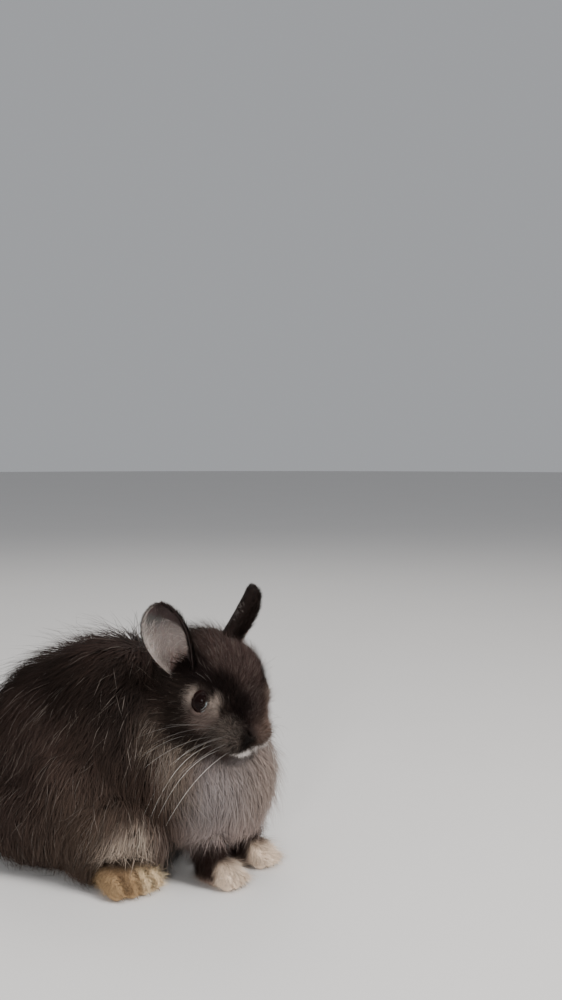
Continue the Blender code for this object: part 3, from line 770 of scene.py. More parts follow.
skin_normals = mesh_normals(skin.data)
skin_colours, skin_silver = markings(skin_places, region_shares(skin_places))
store(skin.data, "marking", skin_colours)
# An along of one half keeps the skin darker than the tips: painted shadow under the coat.
store(skin.data, "strand", np.tile((0.5, 0.5, 0.0), (len(skin_places), 1)))
skin.data.materials.append(skin_material())


# The eyes: large, nearly black-brown balls with a clear domed cornea, set deep between the lids.
# The iris is dark brown, and a thin rim of bluish white shows at the lower front of the opening.
# Each is glossy and wet, and turns a little forwards in its socket.
IRIS_RADIUS = 6.6
PUPIL_RADIUS = 3.6
CORNEA_RISE = 0.5
WHITE_RIM_LOW = 28
PUPIL_MAROON = (0.0048, 0.0019, 0.0017)
IRIS_MAROON = (0.0065, 0.0024, 0.0020)
IRIS_BROWN = (0.0095, 0.0036, 0.0030)
WHITE_DULL = (0.26, 0.33, 0.36)
WHITE_CLEAR = (0.42, 0.50, 0.52)


def eye_material():
    made, tree, shader = new_material("wet_eye", 0.08)
    radius = read(tree, "from_middle")
    pupil = tree.nodes.new("ShaderNodeMapRange")
    pupil.inputs["From Min"].default_value = PUPIL_RADIUS + 0.4
    pupil.inputs["From Max"].default_value = PUPIL_RADIUS - 0.2
    tree.links.new(radius.outputs["Fac"], pupil.inputs["Value"])
    rays = clouds(tree, 1400, 4.0)
    brown = mixed(tree, rays, IRIS_MAROON, IRIS_BROWN)
    iris = mixed(tree, pupil.outputs[0], brown, PUPIL_MAROON)
    white = mixed(tree, clouds(tree, 500), WHITE_DULL, WHITE_CLEAR)
    ball_colour = mixed(tree, read(tree, "white_rim").outputs["Fac"], iris, white)
    tree.links.new(ball_colour, shader.inputs["Base Color"])
    tree.links.new(maths(tree, "MULTIPLY_ADD", rays, 0.03, 0.04), shader.inputs["Roughness"])
    return made


def fitted(name, mesh, material, nodes):
    """Puts a finished mesh, made in millimetres, into the scene in metres and in place of its nodes."""
    mesh.materials.append(material)
    mesh.transform(to_metres)
    piece = added(name, mesh)
    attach(piece, "root")
    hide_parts(*nodes)


wet_eye = eye_material()
for label, side in SIDES.items():
    bm = bmesh.new()
    bmesh.ops.create_uvsphere(bm, u_segments=96, v_segments=64, radius=EYE_RADIUS)
    mesh = mesh_from(bm, "ball")
    places = mesh_places(mesh)
    from_axis = np.hypot(places[:, 0], places[:, 1])
    from_axis = np.where(places[:, 2] > 0, from_axis, 9.0)
    dome = CORNEA_RISE * smooth_step(IRIS_RADIUS + 0.4, 0, from_axis)
    places += places / EYE_RADIUS * dome[:, None]
    set_places(mesh, places)
    store(mesh, "from_middle", from_axis)
    mesh.transform(eye_frame(side) @ turned((0, 90 * side, 0)))
    in_eye = carried(mesh_places(mesh), eye_frame(side).inverted())
    towards_nose = np.degrees(np.arctan2(in_eye[:, 2], -in_eye[:, 1]))
    rim = smooth_step(0.86, 0.94, from_opening(mesh_places(mesh), side)) * (side * in_eye[:, 0] > 0)
    rim *= smooth_step(56, 30, np.abs(towards_nose + WHITE_RIM_LOW))
    store(mesh, "white_rim", rim)
    mesh.transform(head_matrix)
    mesh.shade_smooth()
    fitted("eyeball_" + label, mesh, wet_eye, ["eye_" + label])


# The lids: bare dark rims of skin that close on each eyeball and draw out a little at both corners.
# They are soft, a little moist and nearly black, thicker above than below.
LID_THICK = 0.75
LID_STEPS = 96
LID_SECTION = 10
LID_CORNER = 0.5
LID_BLACK = (0.005, 0.003, 0.0028)
LID_BROWN = (0.015, 0.009, 0.008)


def lid_mesh(side):
    """An almond loop with a round section that hugs the eyeball."""
    bm = bmesh.new()
    loops = []
    for i in range(LID_STEPS):
        a = math.tau * i / LID_STEPS
        upper = max(math.sin(a), 0)
        thick = LID_THICK * (0.85 + 0.35 * upper)
        corner = LID_CORNER * abs(math.cos(a)) ** 6
        y = -math.cos(a) * (EYE_OPENING[0] + corner)
        z = math.sin(a) * EYE_OPENING[1]
        spread = math.hypot(y, z)
        x = math.sqrt(max((EYE_RADIUS + 0.25) ** 2 - min(spread, EYE_RADIUS - 0.6) ** 2, 0))
        out = Vector((0, y, z)).normalized()
        loop = []
        for j in range(LID_SECTION):
            b = math.tau * j / LID_SECTION
            place = Vector((x, y, z)) + out * math.cos(b) * thick * 0.6
            place.x += math.sin(b) * thick * 0.42
            loop.append(bm.verts.new((side * place.x, place.y, place.z)))
        loops.append(loop)
    for here, after in zip(loops, loops[1:] + loops[:1]):
        for j in range(LID_SECTION):
            k = (j + 1) % LID_SECTION
            bm.faces.new((here[j], here[k], after[k], after[j]))
    bmesh.ops.recalc_face_normals(bm, faces=bm.faces)
    return mesh_from(bm, "lids")


def mottle_group():
    """Two tones in soft clouds, with a roughness that drifts in clouds of its own."""
    group, into, out = new_group(
        "mottle",
        [("Scale", "NodeSocketFloat", 900.0), ("Detail", "NodeSocketFloat", 3.0),
         ("Dark", "NodeSocketColor", (0.01, 0.01, 0.01, 1)), ("Pale", "NodeSocketColor", (0.1, 0.1, 0.1, 1)),
         ("Fine Scale", "NodeSocketFloat", 1500.0), ("Least Roughness", "NodeSocketFloat", 0.4),
         ("Roughness Spread", "NodeSocketFloat", 0.2)],
        [("Colour", "NodeSocketColor"), ("Roughness", "NodeSocketFloat")],
    )
    scale, detail, dark, pale, fine, least, spread = into.outputs[:7]
    group.links.new(mixed(group, clouds(group, scale, detail), dark, pale), out.inputs["Colour"])
    rough = maths(group, "MULTIPLY_ADD", clouds(group, fine), spread, least)
    group.links.new(rough, out.inputs["Roughness"])
    return group


mottle = mottle_group()


def mottled_material(name, specular, values):
    made, tree, shader = new_material(name, specular)
    tones = with_group(tree, mottle, values)
    tree.links.new(tones.outputs["Colour"], shader.inputs["Base Color"])
    tree.links.new(tones.outputs["Roughness"], shader.inputs["Roughness"])
    return made


lid_rim = mottled_material("lid_rim", 0.03, {
    "Scale": 900, "Dark": LID_BLACK, "Pale": LID_BROWN,
    "Fine Scale": 1500, "Least Roughness": 0.45, "Roughness Spread": 0.25,
})
for label, side in SIDES.items():
    mesh = lid_mesh(side)
    mesh.transform(head_matrix @ eye_frame(side))
    mesh.shade_smooth()
    fitted("lids_" + label, mesh, lid_rim, ["head"])


# The ears: short upright cups of thin cartilage with rounded tips, open to the sides.
# Outside they are dark like the head, inside they are greyish pink under a thin, pale down.
EAR_LENGTH = 37.5
EAR_FLAT_WIDTH = 31
EAR_WIDEST = 0.58
EAR_SKEW = 1.5
EAR_ROWS = 56
EAR_COLUMNS = 49
EAR_DARK = (0.011, 0.0072, 0.006)
EAR_RIM_DARK = (0.040, 0.029, 0.028)
EAR_GREY = (0.052, 0.050, 0.048)
EAR_PALE = (0.205, 0.172, 0.160)
EAR_PINK = (0.120, 0.086, 0.077)
EAR_DOWN = (0.46, 0.42, 0.39)
# How far each ear turns back, splays and twists, and where its root is on the head. 1 is the left one.
EAR_STANDS = {1: (-8, 43, -52, (1, 6, 23)), -1: (-12, 30, -42, (-15.8, 5, 13.8))}


def ear_matrix(side):
    """Where an ear stands on the head."""
    back, splay, twist, root = EAR_STANDS[side]
    turn = Euler([math.radians(a) for a in (back, side * splay, side * twist)], "ZXY").to_matrix().to_4x4()
    return head_matrix @ Matrix.Translation(root) @ turn


def ear_half_width(along):
    """Half the width of the ear laid flat: narrow at the root, widest past its middle, round at the tip."""
    swell = 0.62 + 0.38 * np.sin(math.pi / 2 * np.minimum(along / EAR_WIDEST, 1))
    beyond = np.clip((along - EAR_WIDEST) / (1 - EAR_WIDEST), 0, 1)
    return EAR_FLAT_WIDTH / 2 * swell * (1 - beyond**2.4) ** 0.45


def ear_points(side, along, across):
    """Places on the middle of the ear's cartilage, for shares along it and across it."""
    roll = np.radians(122 - 58 * along**0.6)
    radius = ear_half_width(along) / roll
    angle = across * roll
    outward = radius * (1 - np.cos(angle))
    lean = 0.10 * EAR_LENGTH * along**2
    backward = radius * np.sin(angle) + EAR_SKEW * along**2
    return np.stack([side * (outward - lean), backward, along * EAR_LENGTH], axis=-1)


def turn_outwards(mesh):
    """Makes all faces of a closed mesh look outwards."""
    bm = bmesh.new()
    bm.from_mesh(mesh)
    bmesh.ops.recalc_face_normals(bm, faces=bm.faces)
    bm.to_mesh(mesh)
    bm.free()


def ear_mesh(side):
    """Inner and outer sheets, thin at the edge and thicker in the middle, joined round the edge."""
    rows = 0.994 * np.sin(math.pi / 2 * np.linspace(0, 1, EAR_ROWS))
    along, across = np.meshgrid(rows, np.linspace(-1, 1, EAR_COLUMNS), indexing="ij")
    middle = ear_points(side, along, across)
    inward = side * np.cross(np.gradient(middle, axis=1), np.gradient(middle, axis=0))
    inward /= np.linalg.norm(inward, axis=2)[:, :, None]
    inward *= np.sign((inward[:, EAR_COLUMNS // 2, 0] * side).sum())
    half = 0.35 + 0.65 * (1 - across**2) * (1 - along**3)
    inner = middle + inward * half[:, :, None]
    outer = middle - inward * half[:, :, None]
    places = np.concatenate([inner.reshape(-1, 3), outer.reshape(-1, 3)])
    count = EAR_ROWS * EAR_COLUMNS
    grid = np.arange(count).reshape(EAR_ROWS, EAR_COLUMNS)
    inner_faces = np.stack([grid[:-1, :-1], grid[:-1, 1:], grid[1:, 1:], grid[1:, :-1]], axis=-1)
    inner_faces = inner_faces.reshape(-1, 4)
    edge = np.concatenate([grid[0, :-1], grid[:-1, -1], grid[-1, :0:-1], grid[:0:-1, 0]])
    after = np.roll(edge, -1)
    rim = np.stack([after, edge, edge + count, after + count], axis=-1)
    faces = np.concatenate([inner_faces, inner_faces[:, ::-1] + count, rim])
    mesh = bpy.data.meshes.new("ear")
    mesh.from_pydata(places.tolist(), [], faces.tolist())
    turn_outwards(mesh)
    inside = np.repeat([1.0, 0.0], count)
    return mesh, np.stack([np.tile(along.ravel(), 2), np.tile(across.ravel(), 2), inside], axis=1)


def ear_colours(shares):
    """Dark outside and at the front and top edges, pale inside: grey above, pink below, white behind."""
    along, across, inside = shares.T
    front = -across
    dark = smooth_step(-0.06, 0.08, front - 0.66 + 0.55 * smooth_step(0.45, 0.10, along))
    dark = np.maximum(dark, smooth_step(-0.03, 0.05, along - 0.985 + 0.22 * (front + 1)))
    pale = np.array(EAR_PINK) + np.outer(smooth_step(0.20, 0.45, along), np.subtract(EAR_PALE, EAR_PINK))
    pale += (np.array(EAR_GREY) - pale) * smooth_step(0.55, 0.85, along)[:, None]
    pale += (np.array(EAR_DOWN) - pale) * smooth_step(0.70, 0.95, -front)[:, None] * 0.5
    pale += (np.array(EAR_RIM_DARK) - pale) * dark[:, None]
    pale += (np.array(EAR_DARK) - pale) * smooth_step(0.16, 0.08, along)[:, None]
    outside = np.tile(np.array(EAR_DARK), (len(shares), 1))
    return outside + (pale - outside) * inside[:, None]


def ear_material():
    """Thin skin over cartilage with a fine nap, through which a little light passes."""
    made, tree, shader = coat_material("ear_skin", 0.8, 0.3, 0.1)
    shader.inputs["Subsurface Weight"].default_value = 0.15
    shader.inputs["Subsurface Scale"].default_value = 0.002
    add_nap(tree, shader, 1800, 3.0, 0.0003, 0.5)
    return made


ear_skin = ear_material()
ear_grounds = {}
for label, side in SIDES.items():
    mesh, shares = ear_mesh(side)
    colours = ear_colours(shares)
    store(mesh, "marking", colours)
    store(mesh, "strand", np.tile((0.6, 0.6, 0.0), (len(shares), 1)))
    mesh.transform(ear_matrix(side))
    mesh.shade_smooth()
    mesh.materials.append(ear_skin)
    shell = added("ear_shell_" + label, mesh)
    unwrap(shell)
    ear_grounds[side] = (mesh, shares, colours)
    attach(shell, "root")
    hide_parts("ear_" + label)


# The coat over back, flanks, haunches, chest and neck: soft, loose and long for so small a rabbit.
# Fine tufts grow in tiers of down, cover and guard hair, lie back and down, draw together into wisps
# and stand out a little at the outline. Each tuft is a closed, tapered sliver with its root in the skin.
SEED = 21
ROOT_DEPTH = 0.4
LOWEST_HAIR = 0.3
FLOOR_EASE = 4.0
TUFT_PATCH = 0.003
TUFT_FLATNESS = 0.45
BODY_LIE = np.array((0, 0.10, -1.0))
# Hair by its length, rise and width in millimetres, and how many tufts a square millimetre carries.
LIP_HAIR = (2.6, 0.9, 0.13, 20)
EYE_RING_HAIR = (1.8, 0.7, 0.2, 8.0)
TAIL_HAIR = (10, 3.6, 0.34, 2.9)
DOWN_SHARE = 0.30
GUARD_FROM = 0.80
HAUNCH_MIDDLE = (52, 29, 34)
HAUNCH_RADII = (31, 51, 41)
HAUNCH_LEAN = 14
NAPE_EDGE = (0, -22, 84)
NAPE_WAY = np.array((-0.12, -0.8, 0.6))
CHEST_BACK_Y = -30
RUMP_FRONT_Y = 50
BACK_LOW_Z = 88
chances = np.random.default_rng(SEED)


def unit(vectors):
    return vectors / np.maximum(np.linalg.norm(vectors, axis=-1, keepdims=True), 1e-9)


def along_surface(vectors, normals):
    """The part of each vector that lies along the surface, as a direction."""
    return unit(vectors - normals * (vectors * normals).sum(axis=-1, keepdims=True))


def survey(mesh, lies, values):
    """All that is needed to grow tufts on a mesh: its shape, its unwrap and what is known at each point."""
    mesh.calc_loop_triangles()
    count = len(mesh.loop_triangles)
    corners = np.empty(count * 3, np.int32)
    mesh.loop_triangles.foreach_get("vertices", corners)
    loops = np.empty(count * 3, np.int32)
    mesh.loop_triangles.foreach_get("loops", loops)
    uvs = np.empty(len(mesh.loops) * 2, np.float32)
    mesh.uv_layers["OFBake"].data.foreach_get("uv", uvs)
    places = mesh_places(mesh)
    corners = corners.reshape(-1, 3)
    a, b, c = (places[corners[:, i]] for i in range(3))
    area = np.linalg.norm(np.cross(b - a, c - a), axis=1) / 2
    tree = BVHTree.FromPolygons(places.tolist(), corners.tolist())
    normals = mesh_normals(mesh)
    return {
        "places": places, "normals": normals, "corners": corners, "area": area, "tree": tree,
        "uvs": uvs.reshape(-1, 2)[loops.reshape(-1, 3)], "lies": along_surface(lies, normals),
        "values": values,
    }


def roots_on(ground, crowd):
    """Roots spread over a surface, so many to the square millimetre at each of its points."""
    corners = ground["corners"]
    wanted = crowd[corners].mean(axis=1) * ground["area"]
    total = int(wanted.sum())
    steps = (np.arange(total) + chances.random(total)) / total * wanted.sum()
    chosen = np.searchsorted(np.cumsum(wanted), steps).clip(0, len(corners) - 1)
    first, second = np.sqrt(chances.random(total)), chances.random(total)
    shares = np.stack([1 - first, first * (1 - second), first * second], axis=1)[:, :, None]
    known = {key: ground[key] for key in ("places", "normals", "lies")}
    roots = {key: (value[corners[chosen]] * shares).sum(axis=1) for key, value in known.items()}
    roots["normals"] = unit(roots["normals"])
    roots["uvs"] = (ground["uvs"][chosen] * shares).sum(axis=1)
    for key, value in ground["values"].items():
        if value.ndim == 1:
            value = value[:, None]
        roots[key] = (value[corners[chosen]] * shares).sum(axis=1).squeeze()
    return roots


def nearest_on(ground, places):
    """The nearest place on a surface to each given one, with its outward direction and the lie there."""
    found, faces = np.empty_like(places), np.empty(len(places), int)
    find = ground["tree"].find_nearest
    for i, place in enumerate(places.tolist()):
        found[i], _, faces[i], _ = find(place)
    corner = ground["corners"][faces, 0]
    return found, ground["normals"][corner], ground["lies"][corner]


def rotated(vectors, axes, angles):
    """Each vector turned about its own axis, to which it is at a right angle."""
    return vectors * np.cos(angles)[:, None] + np.cross(axes, vectors) * np.sin(angles)[:, None]


def clumped(roots, spacing, spread):
    """For each root the offset to the middle of its wisp, and the wisp's own turn, length and lift."""
    count = max(int(len(roots["places"]) / spacing), 1)
    middles = chances.choice(len(roots["places"]), count, replace=False)
    tree = KDTree(count)
    for i, middle in enumerate(roots["places"][middles].tolist()):
        tree.insert(middle, i)
    tree.balance()
    nearest = np.array([tree.find(place)[1] for place in roots["places"].tolist()])
    offset = roots["places"][middles][nearest] - roots["places"]
    drift = np.array([noise.noise(Vector(place) * 0.045) for place in roots["places"][middles].tolist()])
    turn = (chances.normal(0, spread, count) + drift * 0.9)[nearest]
    size = chances.uniform(0.85, 1.12, count)[nearest]
    lift = chances.uniform(0.7, 1.25, count)[nearest]
    return offset, turn, size, lift


def above_floor(places):
    """The places, bent upwards where hair would come too near to the floor."""
    drop = LOWEST_HAIR + FLOOR_EASE - places[..., 2]
    eased = LOWEST_HAIR + FLOOR_EASE * np.exp(-np.maximum(drop, 0) / FLOOR_EASE)
    places[..., 2] = np.where(drop > 0, eased, places[..., 2])
    return places


def tuft_stations(ground, roots, steps, clump_pull, stray):
    """Middle line of each tuft from root to tip, with its heading and outward direction at each station."""
    at, up = roots["places"], roots["normals"]
    offset, turn, size, lift = roots["clump"]
    heading = rotated(along_surface(roots["lies"], up), up, turn + chances.normal(0, stray, len(at)))
    length = roots["length"] * size * chances.uniform(0.8, 1.15, len(at))
    rise = roots["rise"] * lift
    wave = chances.normal(0, 0.065, (len(at), 1)) * length[:, None]
    stations = []
    for step in range(steps + 1):
        share = step / steps
        height = (-ROOT_DEPTH + (rise + ROOT_DEPTH) * share**0.8)[:, None]
        drawn = offset * clump_pull * share**1.3
        sway = np.cross(heading, up) * wave * math.sin(math.pi * 1.4 * share)
        stations.append((above_floor(at + up * height + drawn + sway), heading, up))
        if step < steps:
            found, turned_up, flow = nearest_on(ground, at + heading * (length / steps)[:, None])
            at, up = found, turned_up
            heading = along_surface(heading + flow * 0.35, up)
    return stations


def tuft_mesh(name, roots, stations, bend):
    """Closed three-sided slivers about their middle lines in one mesh, shaded partly as one surface."""
    steps = len(stations) - 1
    girths = {1: (1.0,), 2: (0.8, 0.85), 3: (0.75, 1.0, 0.7)}[steps]
    count = len(roots["places"])
    rings = []
    for girth, (middle, heading, up) in zip(girths, stations):
        sideways = np.cross(heading, up)
        wide = (roots["width"] * girth / 2)[:, None]
        side_way, thick = sideways * wide, up * (wide * TUFT_FLATNESS)
        rings += [middle + side_way - thick, middle + thick, middle - side_way - thick]
    rings.append(stations[-1][0])
    points = above_floor(np.stack(rings, axis=1))
    per = 3 * steps + 1
    pattern = [(0, 1, 2)]
    for ring in range(steps - 1):
        for j in range(3):
            a, b = 3 * ring + j, 3 * ring + (j + 1) % 3
            pattern += [(a, b + 3, b), (a, a + 3, b + 3)]
    for j in range(3):
        pattern.append((3 * (steps - 1) + j, per - 1, 3 * (steps - 1) + (j + 1) % 3))
    pattern = np.array(pattern)
    corners = (np.arange(count)[:, None, None] * per + pattern).reshape(-1)
    mesh = bpy.data.meshes.new(name)
    mesh.vertices.add(count * per)
    mesh.vertices.foreach_set("co", points.astype(np.float32).ravel())
    mesh.loops.add(len(corners))
    mesh.loops.foreach_set("vertex_index", corners.astype(np.int32))
    mesh.polygons.add(len(corners) // 3)
    mesh.polygons.foreach_set("loop_start", np.arange(0, len(corners), 3, dtype=np.int32))
    mesh.update(calc_edges=True)
    mesh.shade_smooth()
    along = np.array([ring / steps for ring in range(steps) for _ in range(3)] + [1.0])
    across = np.array([-0.5, 0, 0.5] * steps + [0])
    patch = np.stack([across, along - 0.5], axis=1) * TUFT_PATCH
    root_uv = roots["uvs"].clip(TUFT_PATCH, 1 - TUFT_PATCH)
    uvs = (root_uv[:, None, None, :] + patch[pattern][None]).reshape(-1)
    layer = mesh.uv_layers.new(name="OFBake")
    layer.data.foreach_set("uv", uvs.astype(np.float32))
    store(mesh, "marking", np.repeat(roots["colour"], per, axis=0))
    strand = [np.tile(along, count), np.repeat(roots["chance"], per), np.repeat(roots["silver"], per)]
    store(mesh, "strand", np.stack(strand, axis=1))
    outward = [np.repeat(up[:, None], 3, axis=1) for _, _, up in stations[:-1]]
    outward = np.concatenate(outward + [stations[-1][2][:, None]], axis=1).reshape(-1, 3)
    normals = unit(mesh_normals(mesh) * (1 - bend) + outward * bend)
    mesh.normals_split_custom_set_from_vertices(normals.tolist())
    return mesh


def chosen_roots(roots, mask):
    picked = {key: value[mask] for key, value in roots.items() if key != "clump"}
    if "clump" in roots:
        picked["clump"] = tuple(value[mask] for value in roots["clump"])
    return picked


def skin_lies(places, on):
    """Which way the hair lies: back over the head, down on the body, towards the toes and the tail's tip."""
    in_head = carried(places, head_matrix.inverted())
    away = unit(in_head - (0, -37, -4))
    cheek = smooth_step(8, 18, np.abs(in_head[:, 0])) * smooth_step(6, -8, in_head[:, 2])
    away += np.array((0, 0.25, -0.55)) * cheek[:, None]
    for side in (1, -1):
        eye = np.array((side * EYE_PLACE.x, EYE_PLACE.y, EYE_PLACE.z))
        outward = in_head - eye
        ring = smooth_step(2.0, 1.15, from_opening(in_head, side))
        ring = ring * (np.linalg.norm(outward, axis=1) < 16)
        away = away * (1 - ring[:, None]) + unit(outward) * ring[:, None]
    lies = on["head"][:, None] * (away @ np.array(head_matrix.to_3x3()).T)
    lies += on["body"][:, None] * BODY_LIE
    lies += on["forelegs"][:, None] * np.array((0, -0.35, -1.0))
    for side, place in zip((1, -1), hindfoot_places):
        toes = np.array(place.to_3x3()) @ np.array((0, -1, -0.45))
        lies += (on["hindfeet"] * (places[:, 0] * side > 0))[:, None] * toes
    lies += on["tail"][:, None] * np.array((0, 0.3, 1))
    return unit(lies)


def drawn_to(sizes, wanted, share):
    """Lets each of the hair's sizes go over into the wanted one, fully where the share is 1."""
    for size, value in zip(sizes, wanted):
        size += (value - size) * share


def coat_sizes(places, normals, on):
    """The coat's length, rise, width and crowding at each place of the skin."""
    in_head = carried(places, head_matrix.inverted())
    x, y, z = np.abs(in_head[:, 0]), in_head[:, 1], in_head[:, 2]
    muzzle = smooth_step(-21, -28, y)
    crown = smooth_step(-8, 12, y) * smooth_step(-6, 8, z)
    cheek = smooth_step(12, 20, x) * smooth_step(-3, -13, z) * smooth_step(-24, -14, y)
    face = smooth_step(-6, -12, y)
    lip = smooth_step(4.4, 2.4, from_line(in_head, LIP_EDGE))
    chin = smooth_step(-12, -16, z) * smooth_step(-22, -26, y)
    length = 5.4 + 3.6 * crown + 5.0 * cheek - 1.5 * muzzle - 1.2 * chin
    rise = 2.6 + 1.1 * crown + 1.5 * cheek - 0.7 * muzzle - 0.7 * chin
    width = 0.25 + 0.03 * cheek - 0.08 * face
    crowd = 3.3 - 0.6 * cheek + 5.4 * face + 4.0 * muzzle
    drawn_to((length, rise, width, crowd), LIP_HAIR, lip)
    bare = np.zeros(len(places))
    for side in (1, -1):
        ring = from_opening(in_head, side)
        drawn_to((length, rise, width, crowd), EYE_RING_HAIR, smooth_step(2.4, 1.3, ring))
        bare = np.maximum(bare, ring < 1.12)
    nose = np.linalg.norm((in_head - (0, -MUZZLE_REACH, -6)) / (4.5, 6, 5), axis=1)
    length *= 1 - 0.65 * smooth_step(1.3, 0.8, nose)
    rise *= 1 - 0.7 * smooth_step(1.3, 0.8, nose)
    head = (length, rise, width, crowd * (1 - bare))
    belly = smooth_step(-0.4, -0.8, normals[:, 2])
    front = smooth_step(-30, -48, places[:, 1])
    from_head = np.linalg.norm(places - np.array(HEAD_PLACE), axis=1)
    nape = smooth_step(46, 34, from_head) * smooth_step(66, 80, places[:, 2])
    crest = smooth_step(90, 106, places[:, 2])
    rear = smooth_step(40, 62, places[:, 1])
    body = (20 - 6 * front - 7 * nape - 9 * belly + 2.5 * crest,
            7.8 - 1.5 * front - 2.5 * nape - 5 * belly + 2.4 * crest,
            0.46 + 0.04 * rear,
            1.22 + 0.5 * front - 0.25 * nape - 0.6 * belly - 0.30 * rear)
    leg = smooth_step(12, 26, places[:, 2])
    low = smooth_step(8, 4, places[:, 2])
    forelegs = (6.6 + 2.3 * leg + 1.5 * low, 3.0 + 0.5 * leg + 0.8 * low,
                0.18 + 0.07 * leg, 10.5 - 5.0 * leg)
    hindfeet = (5.8 + 2.7 * leg, 2.5 + 1.3 * leg, 0.19 + 0.08 * leg, 8.8 - 4.5 * leg)
    found = []
    for sizes in zip(body, head, forelegs, hindfeet, TAIL_HAIR):
        found.append(sum(on[region] * size for region, size in zip(REGIONS, sizes)))
    sole = (places[:, 2] < 0.6) & (normals[:, 2] < -0.5)
    found[3] = found[3] * ~sole
    return found


on = dict(zip(REGIONS, region_shares(skin_places)))
length, rise, width, crowd = coat_sizes(skin_places, skin_normals, on)
values = {"length": length, "rise": rise, "width": width, "colour": skin_colours, "silver": skin_silver}
values.update({"on_" + region: share for region, share in on.items()})
skin_ground = survey(skin.data, skin_lies(skin_places, on), values)
skin.data.transform(to_metres)
roots = roots_on(skin_ground, crowd)
roots["chance"] = chances.random(len(roots["places"]))
kind = np.argmax([roots["on_" + region] for region in REGIONS], axis=0)
long_coat = coat_material("long_coat", 0.66, 0.50, 0.06)[0]


def tiers(roots, wisps, lift, thin):
    """Sorts the tufts into down, cover, guard hair and the few that stand off as wisps."""
    draw = chances.random(len(roots["places"]))
    kinds = [draw < DOWN_SHARE, (draw > GUARD_FROM) & (draw < 1 - wisps), draw > 1 - wisps]
    roots["length"] = roots["length"] * np.select(kinds, (0.62, 1.15, 1.10), 1.0)
    roots["rise"] = roots["rise"] * np.select(kinds, (0.5, 1.3, lift), 1.0)
    roots["width"] = roots["width"] * np.select(kinds, (1.5, 0.7, thin), 1.0)


def own_shares(roots):
    """How much each root belongs to each region of the skin."""
    return np.array([roots["on_" + region] for region in REGIONS])


def haunch(places, side):
    """True on the haunch of one side."""
    x, y, z = HAUNCH_MIDDLE
    middle = Matrix.Translation((side * x, y, z)) @ turned((0, HAUNCH_LEAN * side, 0))
    return np.linalg.norm(carried(places, middle.inverted()) / HAUNCH_RADII, axis=1) < 1


body_roots = chosen_roots(roots, kind == 0)
tiers(body_roots, 0.08, 1.95, 0.42)
body_roots["clump"] = clumped(body_roots, 11, 0.18)
at = body_roots["places"]
nape = (at - NAPE_EDGE) @ NAPE_WAY > 0
left_haunch, right_haunch = haunch(at, 1), haunch(at, -1)
chest = ~nape & (at[:, 1] < CHEST_BACK_Y)
rest = ~nape & ~chest & ~left_haunch & ~right_haunch
rump = rest & (at[:, 1] > RUMP_FRONT_Y)
back = rest & ~rump & (at[:, 2] > BACK_LOW_Z)
flank = rest & ~rump & ~back
body_pieces = {
    "coat_nape": (nape, "neck"),
    "coat_chest": (chest, "chest"),
    "coat_haunch_left": (left_haunch, "haunch_left"),
    "coat_haunch_right": (right_haunch, "haunch_right"),
    "coat_rump": (rump, "torso"),
    "coat_back": (back, "torso"),
    "coat_flank_left": (flank & (at[:, 0] > 0), "torso"),
    "coat_flank_right": (flank & (at[:, 0] <= 0), "torso"),
}
for name, (mask, node) in body_pieces.items():
    own = chosen_roots(body_roots, mask)
    stations = tuft_stations(skin_ground, own, 3, 0.42, 0.22)
    own["colour"], own["silver"] = markings(stations[2][0], own_shares(own))
    mesh = tuft_mesh(name, own, stations, 0.65)
    fitted(name, mesh, long_coat, [node])


# The short coat of the head, legs, feet and tail: fine tufts that lie close, smallest on the muzzle
# and round the eyes, and longer on the crown and cheeks, where wisps stand off into the neck.
FACE_BACK_Y = -12
short_coat = coat_material("short_coat", 0.60, 0.75, 0.06)[0]
paw_coat = coat_material("paw_coat", 0.50, 0.70, 0.06)[0]
short_roots = chosen_roots(roots, kind != 0)
short_kind = kind[kind != 0]
tiers(short_roots, 0.14, 2.2, 0.75)
short_roots["clump"] = clumped(short_roots, 7, 0.16)
in_head = carried(short_roots["places"], head_matrix.inverted())
on_head, on_foreleg, on_hindfoot, on_tail = (short_kind == number for number in range(1, 5))
face = in_head[:, 1] < FACE_BACK_Y
left = short_roots["places"][:, 0] > 0
left_of_chest = short_roots["places"][:, 0] > CHEST_SHIFT
paw_hair = (1, 0.42, 0.45, paw_coat)
# Each piece has its tufts, their steps, stray and share of the coat's shading, its material and its node.
short_pieces = {
    "coat_face": (on_head & face, 1, 0.28, 0.45, short_coat, "head"),
    "coat_crown_and_cheeks": (on_head & ~face, 2, 0.20, 0.5, short_coat, "head"),
    "coat_foreleg_left": (on_foreleg & left_of_chest, *paw_hair, "foreleg_left"),
    "coat_foreleg_right": (on_foreleg & ~left_of_chest, *paw_hair, "foreleg_right"),
    "coat_hindfoot_left": (on_hindfoot & left, *paw_hair, "hindfoot_left"),
    "coat_hindfoot_right": (on_hindfoot & ~left, *paw_hair, "hindfoot_right"),
    "coat_tail": (on_tail, 2, 0.14, 0.5, short_coat, "tail"),
}
for name, (mask, steps, stray, bend, material, node) in short_pieces.items():
    own = chosen_roots(short_roots, mask)
    stations = tuft_stations(skin_ground, own, steps, 0.3, stray)
    own["colour"], own["silver"] = markings((stations[0][0] + stations[-1][0]) / 2, own_shares(own))
    mesh = tuft_mesh(name, own, stations, bend)
    fitted(name, mesh, material, [node])


